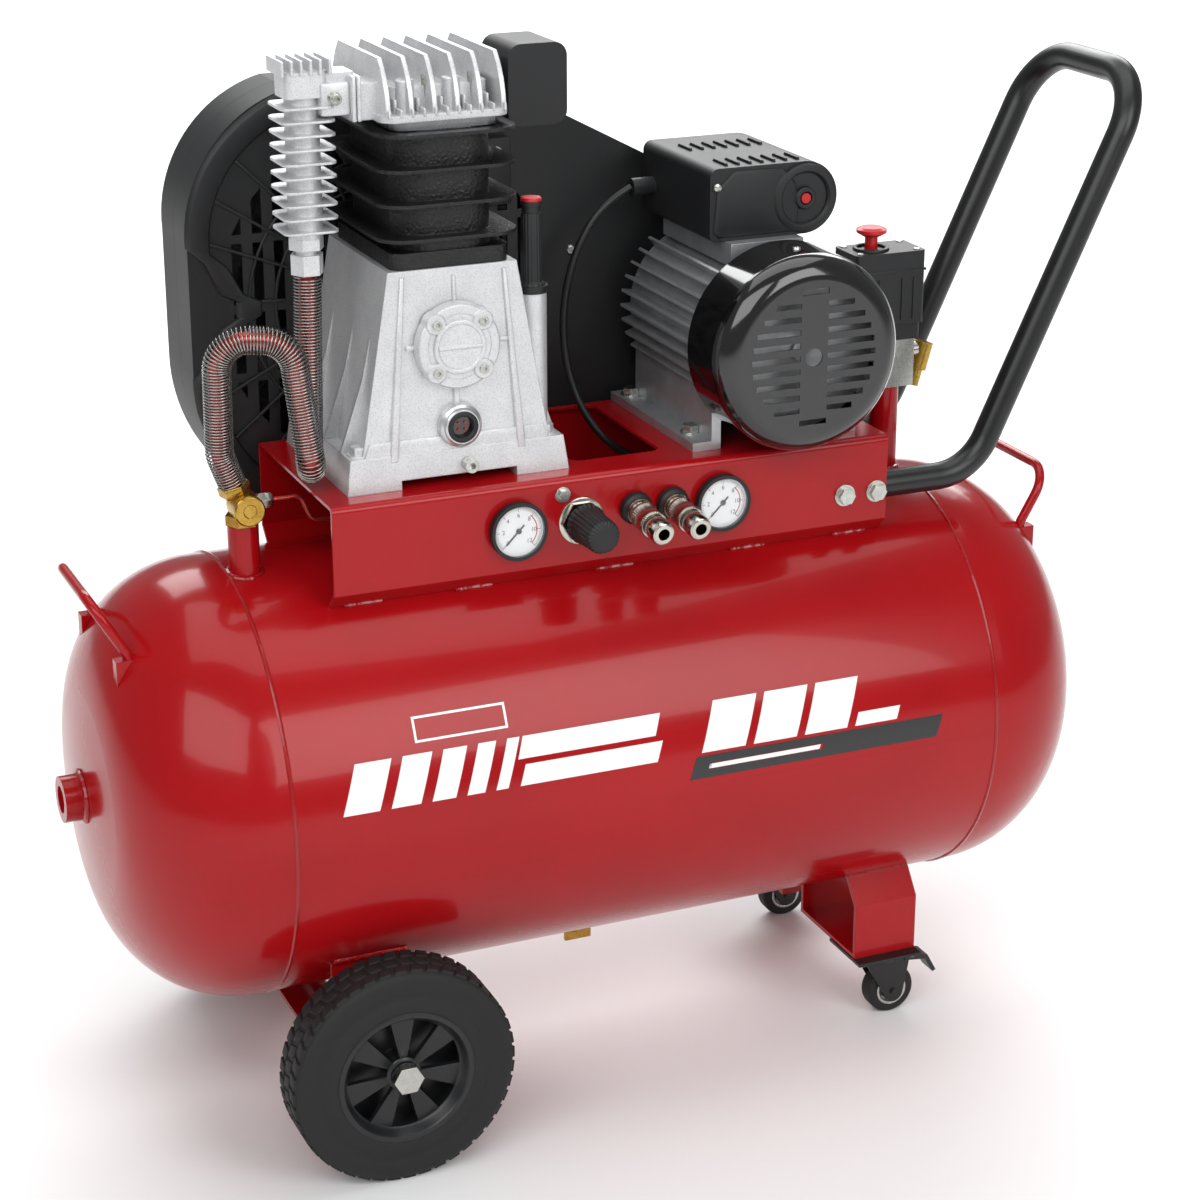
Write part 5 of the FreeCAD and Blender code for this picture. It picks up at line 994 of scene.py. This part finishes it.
@dataclass
class AirLine:
    """Copper delivery pipe in its spring, and the check valve."""

    pitch: float = 2.7
    wire: float = 0.85
    coil: float = 11.5
    pipe: float = 7.6
    facets: int = 14

    def route(self) -> list[Vector]:
        """The pipe's middle line, evenly sampled."""
        corners = [mm(-252.8, -30, 755.0), mm(-257, -30, 594.2), mm(-264, -62, 594.2),
                   mm(-279, -62, 709.7), mm(-337, -44, 713.7), mm(-334, -28, 609.7),
                   mm(-322.5, -25.5, 579.0)]
        return rounded_path(corners, [16.0, 16.0, 27.0, 27.0, 30.0], 1.0)

    def spring(self) -> None:
        """Close wound spring that guards the pipe."""
        path = self.route()
        points = []
        normal = None
        total = int(len(path) / self.pitch * self.facets)
        for step in range(total):
            place = step / total * (len(path) - 1)
            index = min(int(place), len(path) - 2)
            ahead = (path[index + 1] - path[index]).normalized()
            normal = normal or ahead.orthogonal()
            normal = (normal - ahead * normal.dot(ahead)).normalized()
            angle = 2 * math.pi * step / self.facets
            out = normal * math.cos(angle) + ahead.cross(normal) * math.sin(angle)
            points.append(path[index].lerp(path[index + 1], place - index)
                          + out * (self.coil / 1000.0))
        Mould("pipe_spring").wire(points, self.wire, sides=6).cast(SPRING_STEEL, STAND,
                                                                    ["pipe_guard"], 80.0)

    def sleeve(self) -> None:
        """Copper pipe swollen to fill the spring, so that its colour shows between turns."""
        Mould("pipe_inside").wire(self.route()[::4], self.pipe, 28).cast(COPPER, smooth=80.0)

    def valve(self) -> None:
        """Rings and hexagons on the brass check valve and its small union."""
        centre = mm(-316.0, -25.0, 564.0)
        mould = Mould("valve_rings")
        mould.turn([(0, 19), (12.2, 19), (13.4, 20.2), (13.4, 24), (12.2, 25.4), (6, 25.6),
                    (5.4, 24.6), (0, 24.6)], centre, Axis.FRONT.vector)
        mould.turn([(8.0, 17), (13.2, 17), (13.8, 18.0), (13.8, 25.0), (13.0, 26.0), (8.0, 26.0)],
                   mm(-316, -25, 558), Vector((-5, -1, 16)), 6)
        mould.cast(BRASS)
        nut = [(2.4, 14), (6.8, 14), (7.4, 14.8), (7.4, 24), (6.6, 25), (4.2, 27), (2.4, 27)]
        Mould("union_nut").turn(nut, centre, Axis.RIGHT.vector, 6).cast(ZINC)

    def build(self) -> None:
        """Dress the air line."""
        dress(COPPER, "copper_pipes")
        dress(BRASS, "check_valve")
        self.spring()
        self.sleeve()
        self.valve()


@dataclass
class Motor:
    """Electric motor: finned case, gloss cowl, terminal box and its cable."""

    x: float = 157.5
    z: float = 670.5
    box_front: float = -55.0
    box_left: float = 103.0
    box_right: float = 194.0
    box_top: float = 818.5
    vents: int = 7
    vent_pitch: float = 11.5

    def box_relief(self) -> None:
        """Vents, front frame and capacitor ring of the terminal box."""
        mould = Mould("terminal_box_vents")
        for y, index in product((-34.0, 38.0), range(self.vents)):
            mould.slab([(-14, 0), (14, 0), (11, 2.6), (-12, 2.6)],
                       mm(self.box_left + 18.2 + index * self.vent_pitch, y, self.box_top - 0.4),
                       Axis.REAR.vector, Axis.UP.vector, 2.4, 0.5)
        mould.cast(BLACK_ABS)
        front = Mould("terminal_box_front")
        outline = [(3, 8), (8, 3), (80, 3), (84, 12), (86, 30), (82, 46), (70, 60), (22, 61),
                   (6, 46)]
        front.slab(outline, mm(self.box_left, self.box_front, self.z + 84.0), Axis.RIGHT.vector,
                   Axis.UP.vector, 2.4, 1.4, 0.03)
        for profile, steps in (([(22.0, 0), (30.6, 0), (30.0, 3.0), (28.6, 3.6), (24.0, 3.6),
                                 (22.0, 1.4)], 64),
                               ([(5.4, 0), (10.2, 0), (9.8, 3.4), (8.8, 4.2), (6.0, 4.2),
                                 (5.4, 3.0)], 40)):
            front.turn(profile, mm(self.box_right, self.box_front, self.z + 116.0),
                       Axis.FRONT.vector, steps)
        front.cast(BLACK_ABS)

    def screws(self) -> None:
        """Small screws on the cowl and the terminal box."""
        mould = Mould("small_screws")
        for spot, axis in ((mm(self.x - 2.0, -116.0, self.z + 86.4), Axis.UP),
                           (mm(self.box_left + 6.0, -55.5, self.z + 132.0), Axis.FRONT)):
            mould.turn([(0, 0), (4.2, 0), (4.2, 1.0), (3.4, 2.6), (1.4, 3.2), (0, 3.2)], spot,
                       axis.vector, 24)
        mould.cast(ZINC)

    def cowl_rim(self) -> None:
        """Rolled rear edge of the cowl."""
        edge = circle(mm(self.x, -82.6, self.z), 86.4, Axis.FRONT.vector, 96)
        Mould("cowl_rim").wire(edge, 1.0, closed=True).cast(BLACK_GLOSS)

    def cable(self) -> None:
        """Motor lead from the terminal box, under the deck, up to the switch."""
        route = [(82, 65, 781.5), (54, 65.5, 769), (26, 64, 728), (13, 62, 674), (14, 54, 622),
                 (27, 38, 578), (56, 28, 545), (105, 31, 532), (165, 38, 531), (222, 43, 534),
                 (268, 42, 546), (289, 33, 577), (292, 26, 612.7)]
        data = bpy.data.curves.new("motor_lead", "CURVE")
        data.dimensions = "3D"
        spline = data.splines.new("NURBS")
        spline.points.add(len(route) - 1)
        for point, spot in zip(spline.points, route):
            point.co = (*mm(*spot), 1.0)
        spline.order_u = 3
        spline.use_endpoint_u = True
        spline.resolution_u = 16
        data.bevel_depth = 0.0035
        data.bevel_resolution = 6
        data.use_fill_caps = True
        data.materials.append(CABLE_PVC.build())
        lead = show("motor_lead", data)
        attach(lead, STAND)
        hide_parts("motor_cable")
        log.info("motor_lead on %s", STAND)

    def build(self) -> None:
        """Dress the motor."""
        dress(DULL_ALUMINIUM, "motor_body", "motor_rotor")
        dress(BLACK_GLOSS, "fan_cowl")
        dress(BLACK_IRON, "motor_pulley")
        dress(BLACK_ABS, "terminal_box")
        dress(RED_PLASTIC, "reset_button")
        self.box_relief()
        self.screws()
        self.cowl_rim()
        self.cable()


@dataclass
class Drive:
    """Belt guard, flywheel and belt."""

    x: float = -140.0
    z: float = 695.9
    face: float = 105.5
    rib_start: float = 92.0
    band_width: float = 24.0

    def fasteners(self) -> None:
        """Bright screws round the guard."""
        mould = Mould("guard_screws")
        for x, z in ((-268, 842), (-30, 858), (120, 790), (-288, 596), (40, 720), (195, 620)):
            mould.turn([(0, 0), (5.0, 0), (4.8, 1.4), (3.6, 2.8), (0, 3.2)], mm(x, self.face, z),
                       Axis.FRONT.vector, 20)
        mould.cast(ZINC)

    def bracket(self) -> None:
        """Bracket that ties the guard to the block, with its screw."""
        Mould("guard_bracket").box(mm(-62, 92, 770), mm(-22, 105.3, 830), 1.5).cast(BLACK_ABS)
        screw = Mould("bracket_screw")
        spot = mm(-38, 92, 815)
        screw.turn([(0, 0), (8.0, 0), (8.0, 1.4), (0, 1.4)], spot, Axis.FRONT.vector, 28)
        screw.turn([(0, 1.4), (5.6, 1.4), (5.6, 5.4), (4.8, 6.2), (0, 6.2)], spot,
                   Axis.FRONT.vector, 6)
        screw.cast(ZINC)

    def edge(self, angle: float, outline: Sequence[Pair]) -> float:
        """Distance from the crank's axis to the guard's edge.

        Args:
            angle: direction from the axis, in degrees up from the right.
            outline: the guard's front corners in millimetres about the axis.

        Returns:
            The distance in millimetres.
        """
        out, side = ray(angle), ray(angle + 90.0)
        near = [u * out.x + v * out.z for u, v in outline if abs(u * side.x + v * side.z) < 14.0]
        return max(near, default=0.0)

    def relief(self) -> None:
        """Raised band round the guard's left side, with ribs that run in over the slots."""
        corners = [vertex.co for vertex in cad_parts["belt_guard_front"].data.vertices]
        front = min(corner.y for corner in corners)
        outline = [(corner.x * 1000.0 + ORIGIN_X - self.x, corner.z * 1000.0 - self.z)
                   for corner in corners if corner.y < front + 0.0001]
        reaches = [(angle, self.edge(angle, outline)) for angle in range(84, 262, 3)]
        reaches = [(angle, reach) for angle, reach in reaches if reach > 120.0]
        smooth = []
        for index, (angle, _) in enumerate(reaches):
            near = [reach for _, reach in reaches[max(index - 1, 0):index + 2]]
            smooth.append((angle, sum(near) / len(near)))
        centre = mm(self.x, front * 1000.0, self.z)
        ahead = Axis.FRONT.vector / 1000.0
        rows = [[centre + ray(angle) * ((reach - inset) / 1000.0) + ahead * lift
                 for angle, reach in smooth]
                for inset, lift in ((1.2, -0.3), (3.6, 3.2), (6.0, 4.4), (20.0, 4.4), (23.0, 3.6),
                                    (25.0, -0.3))]
        band = Mould("guard_band").sheet(rows + [rows[0]])
        for angle, reach in smooth[1::4]:
            length = reach - self.band_width - self.rib_start
            band.slab([(0, -1.3), (length, -1.3), (length, 1.3), (0, 1.3)],
                      centre - ahead * 0.2 + ray(angle) * (self.rib_start / 1000.0),
                      ray(angle), ray(angle + 90.0), 3.6, 0.4)
        for reach in (100.0, 124.0):
            band.wire([centre + ahead * 0.6 + ray(angle) * (reach / 1000.0)
                       for angle in range(96, 250, 4)], 1.5, sides=6)
        band.cast(BLACK_ABS)

    def build(self) -> None:
        """Dress the drive."""
        dress(BLACK_ABS, "belt_guard_front", "belt_guard_rear")
        dress(BLACK_IRON, "flywheel")
        dress(BELT_RUBBER, "v_belt")
        self.fasteners()
        self.bracket()
        self.relief()


@dataclass
class Gauge:
    """Pressure gauge on the front panel."""

    name: str
    x: float
    z: float = 535.6
    card: float = -108.1
    pane: float = -111.0
    radius: float = 22.6
    start: float = 225.0
    sweep: float = 270.0

    def spot(self, turn: float, reach: float, lift: float) -> Vector:
        """A point on the dial.

        Args:
            turn: how far round the scale it lies, from 0 to 1.
            reach: distance from the dial's middle in millimetres.
            lift: distance in front of the card's back in millimetres.

        Returns:
            The point in metres.
        """
        return (mm(self.x, self.card - lift, self.z)
                + ray(self.start - self.sweep * turn) * (reach / 1000.0))

    def dial(self) -> None:
        """White card, ticks and the red arc."""
        card = [(0, 0), (self.radius, 0), (self.radius, 0.2), (0, 0.2)]
        Mould(f"{self.name}_card").turn(card, mm(self.x, self.card, self.z), Axis.FRONT.vector,
                                        64).cast(DIAL_WHITE)
        ticks = Mould(f"{self.name}_ticks")
        for index in range(61):
            out = ray(self.start - self.sweep * index / 60)
            length, width = (1.9, 0.28) if index % 10 else (3.4, 0.5)
            ticks.slab([(-width / 2, 0), (width / 2, 0), (width / 2, length), (-width / 2, length)],
                       self.spot(index / 60, 20.6 - length, 0.2), out.cross(Axis.FRONT.vector),
                       out, 0.12)
        ticks.wire([self.spot(k / 60, 20.9, 0.3) for k in range(61)], 0.16, sides=4)
        ticks.cast(INK_BLACK)
        middle = mm(self.x, self.card - 0.24, self.z)
        Mould(f"{self.name}_limit").sheet([[middle + ray(50.0 - 95.0 * k / 30) * reach
                                            for k in range(31)]
                                           for reach in (0.0163, 0.0173)]).cast(INK_RED)

    def numbers(self) -> None:
        """Plain scale numbers."""
        for index in range(7):
            text = str(2 * index)
            curve = bpy.data.curves.new(f"{self.name}_number_{text}", "FONT")
            curve.body = text
            curve.size = 0.0054
            curve.align_x = "CENTER"
            curve.align_y = "CENTER"
            curve.extrude = 0.00005
            curve.materials.append(INK_BLACK.build())
            letter = show(curve.name, curve)
            letter.matrix_world = (Matrix.Translation(self.spot(index / 6, 13.8, 0.23))
                                   @ Matrix.Rotation(math.pi / 2, 4, "X"))
            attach(letter, STAND)

    def window(self) -> None:
        """Clear window held by the bezel."""
        edge = self.radius - 0.1
        Mould(f"{self.name}_window").turn([(0, 0), (edge, 0), (edge, 0.8), (0, 0.8)],
                                          mm(self.x, self.pane, self.z), Axis.FRONT.vector,
                                          64).cast(CLEAR)

    def build(self) -> None:
        """Make one gauge's face."""
        self.dial()
        self.numbers()
        self.window()


@dataclass
class Controls:
    """Front panel: gauges, regulator and hose couplers, and the pressure switch."""

    face: float = -103.0
    gauge_left: float = -98.6
    gauge_right: float = 93.6
    regulator_x: float = -38.8
    control_z: float = 535.6
    coupler_left: float = 11.5
    coupler_right: float = 46.2
    coupler_z: float = 541.2
    tilt: float = 6.0

    def regulator(self) -> None:
        """Ribbed knob, threaded neck and washer of the regulator."""
        grip = [(12.9, 0), (17.4, 0), (18.0, 1.0), (18.0, 4.2), (16.4, 6.0), (16.2, 9.0),
                (15.4, 36.0), (14.4, 39.4), (11.5, 41.0), (6.0, 41.8), (0, 42.0)]
        knob = Mould("regulator_grip")
        knob.turn(grip, mm(self.regulator_x, self.face - 10.0, self.control_z),
                  Axis.FRONT.vector, 144, flute=1.0, flutes=24)
        knob.cast(BLACK_ABS, "regulator", ["regulator_knob"])
        neck = Mould("regulator_thread")
        for index in range(5):
            middle = mm(self.regulator_x, self.face - 6.4 - index * 0.8, self.control_z)
            neck.wire(circle(middle, 12.6, Axis.FRONT.vector, 48), 0.35, sides=6, closed=True)
        neck.turn([(12.4, 0.2), (21.0, 0.2), (21.0, 1.6), (20.0, 2.0), (12.4, 2.0)],
                  mm(self.regulator_x, self.face, self.control_z), Axis.FRONT.vector, 56)
        neck.cast(NICKEL)

    def couplers(self) -> None:
        """Knurled sleeves, bright noses and black collars of the couplers."""
        turn = math.radians(self.tilt)
        out = Vector((0, -math.cos(turn), -math.sin(turn)))
        grip = [(9.2, 36.2), (12.0, 36.2), (12.4, 37.6), (12.4, 40.0), (11.7, 41.0), (11.7, 55.0),
                (12.4, 56.0), (12.4, 58.4), (11.6, 59.8), (9.2, 59.8)]
        nose = [(5.4, 62.0), (9.6, 62.0), (10.6, 63.6), (10.6, 76.0), (9.6, 79.0), (8.0, 79.9),
                (6.2, 79.9), (5.4, 78.6)]
        collar = [(8.8, 19.0), (14.6, 19.0), (15.0, 20.4), (14.2, 25.0), (12.0, 27.0), (8.8, 27.0)]
        for side, x in (("left", self.coupler_left), ("right", self.coupler_right)):
            root = mm(x, self.face + 18.0, self.coupler_z + 2.0)
            knurl = Mould(f"coupler_{side}_grip").turn(grip, root, out, 96, flute=0.5, flutes=32)
            knurl.cast(NICKEL, f"sleeve_{side}", [f"coupler_sleeve_{side}"])
            Mould(f"coupler_{side}_nose").turn(nose, root, out).cast(NICKEL)
            Mould(f"coupler_{side}_collar").turn(collar, root, out).cast(BLACK_ABS)

    def switch(self) -> None:
        """Lid seam, corner screws and front ribs of the pressure switch."""
        mould = Mould("switch_relief")
        left, right, low, high = 276.0, 348.0, 646.7, 714.7
        mould.box(mm(left - 0.6, -5.6, high - 19), mm(right + 0.6, 40.6, high - 16.5), 0.6)
        for x in (left + 12, left + 24, left + 48, left + 60):
            mould.box(mm(x - 1, -6.2, low + 4), mm(x + 1, -4.0, high - 24), 0.6)
        mould.turn([(13.0, 0), (17.0, 0), (16.4, 2.4), (13.8, 2.6), (13.0, 2.0)],
                   mm(302.0, 17.0, high), Axis.UP.vector)
        mould.cast(BLACK_ABS)
        screws = Mould("switch_screws")
        for x, y in product((left + 7, right - 7), (1.0, 34.0)):
            screws.turn([(0, 0), (3.2, 0), (3.0, 1.0), (0, 1.4)], mm(x, y, high), Axis.UP.vector,
                        20)
        screws.cast(ZINC)

    def build(self) -> None:
        """Dress the controls."""
        dress(BLACK_ABS, "gauge_cases", "pressure_switch")
        dress(INK_BLACK, "needle_left", "needle_right")
        dress(NICKEL, "outlet_manifold")
        dress(RED_PLASTIC, "switch_knob")
        dress(ZINC, "switch_manifold")
        dress(BRASS, "safety_valve")
        Gauge("gauge_left", self.gauge_left).build()
        Gauge("gauge_right", self.gauge_right).build()
        self.regulator()
        self.couplers()
        self.switch()


@dataclass
class Studio:
    """Pale floor, soft lights and the camera."""

    camera_x: float = -933.6
    camera_y: float = -2204.9
    camera_z: float = 1313.65
    azimuth: float = 23.467
    elevation: float = 20.433
    lens: float = 84.33

    def camera(self) -> None:
        """Set the camera at its measured place."""
        data = bpy.data.cameras.new("camera")
        data.lens = self.lens
        data.sensor_width = 36.0
        data.clip_end = 50.0
        camera = show("camera", data)
        camera.location = mm(self.camera_x, self.camera_y, self.camera_z)
        camera.rotation_euler = (math.radians(90.0 - self.elevation), 0.0,
                                 -math.radians(self.azimuth))
        bpy.context.scene.camera = camera

    def floor(self) -> None:
        """Large pale floor."""
        mould = bmesh.new()
        bmesh.ops.create_grid(mould, x_segments=1, y_segments=1, size=14.0)
        data = bpy.data.meshes.new("floor")
        mould.to_mesh(data)
        mould.free()
        data.materials.append(PALE_FLOOR.build())
        show("floor", data)

    def light(self, name: str, place: Point, size: Pair, power: float,
              aim: Point = (0.0, 0.0, 0.45)) -> None:
        """Hang one soft box.

        Args:
            name: the light's name.
            place: where it hangs, in metres.
            size: its width and height in metres.
            power: its power in watts.
            aim: the point that it faces, in metres.
        """
        data = bpy.data.lights.new(name, "AREA")
        data.shape = "RECTANGLE"
        data.size, data.size_y = size
        data.energy = power
        lamp = show(name, data)
        lamp.location = place
        lamp.rotation_euler = (Vector(aim) - Vector(place)).to_track_quat("-Z", "Y").to_euler()

    def build(self) -> None:
        """Make the whole studio."""
        self.camera()
        self.floor()
        self.light("key_box", (-2.4, -2.8, 3.2), (4.2, 2.6), 108.0)
        self.light("front_strip", (1.2, -3.4, 2.4), (1.8, 2.4), 56.0)
        self.light("top_box", (0.1, 0.2, 3.4), (3.4, 2.2), 42.0)
        self.light("rear_box", (1.8, 2.6, 2.4), (2.4, 1.6), 36.0)
        self.light("floor_box", (2.2, 5.6, 4.2), (7.0, 4.0), 420.0, (2.2, 5.6, 0.0))
        world = bpy.data.worlds.new("pale_studio")
        world.use_nodes = True
        sky = world.node_tree.nodes["Background"].inputs
        sky["Color"].default_value = linear("F7F8FA")
        sky["Strength"].default_value = 0.3
        bpy.context.scene.world = world
        bpy.context.scene.view_settings.view_transform = "Standard"


def main() -> None:
    """Build the studio, then dress each sub-assembly in turn."""
    Studio().build()
    Motor().build()
    Tank().build()
    Wheel("front", -1.0).build()
    Wheel("rear", 1.0).build()
    Casters().build()
    Pump().build()
    AirLine().build()
    Drive().build()
    Controls().build()


if __name__ == "__main__":
    main()
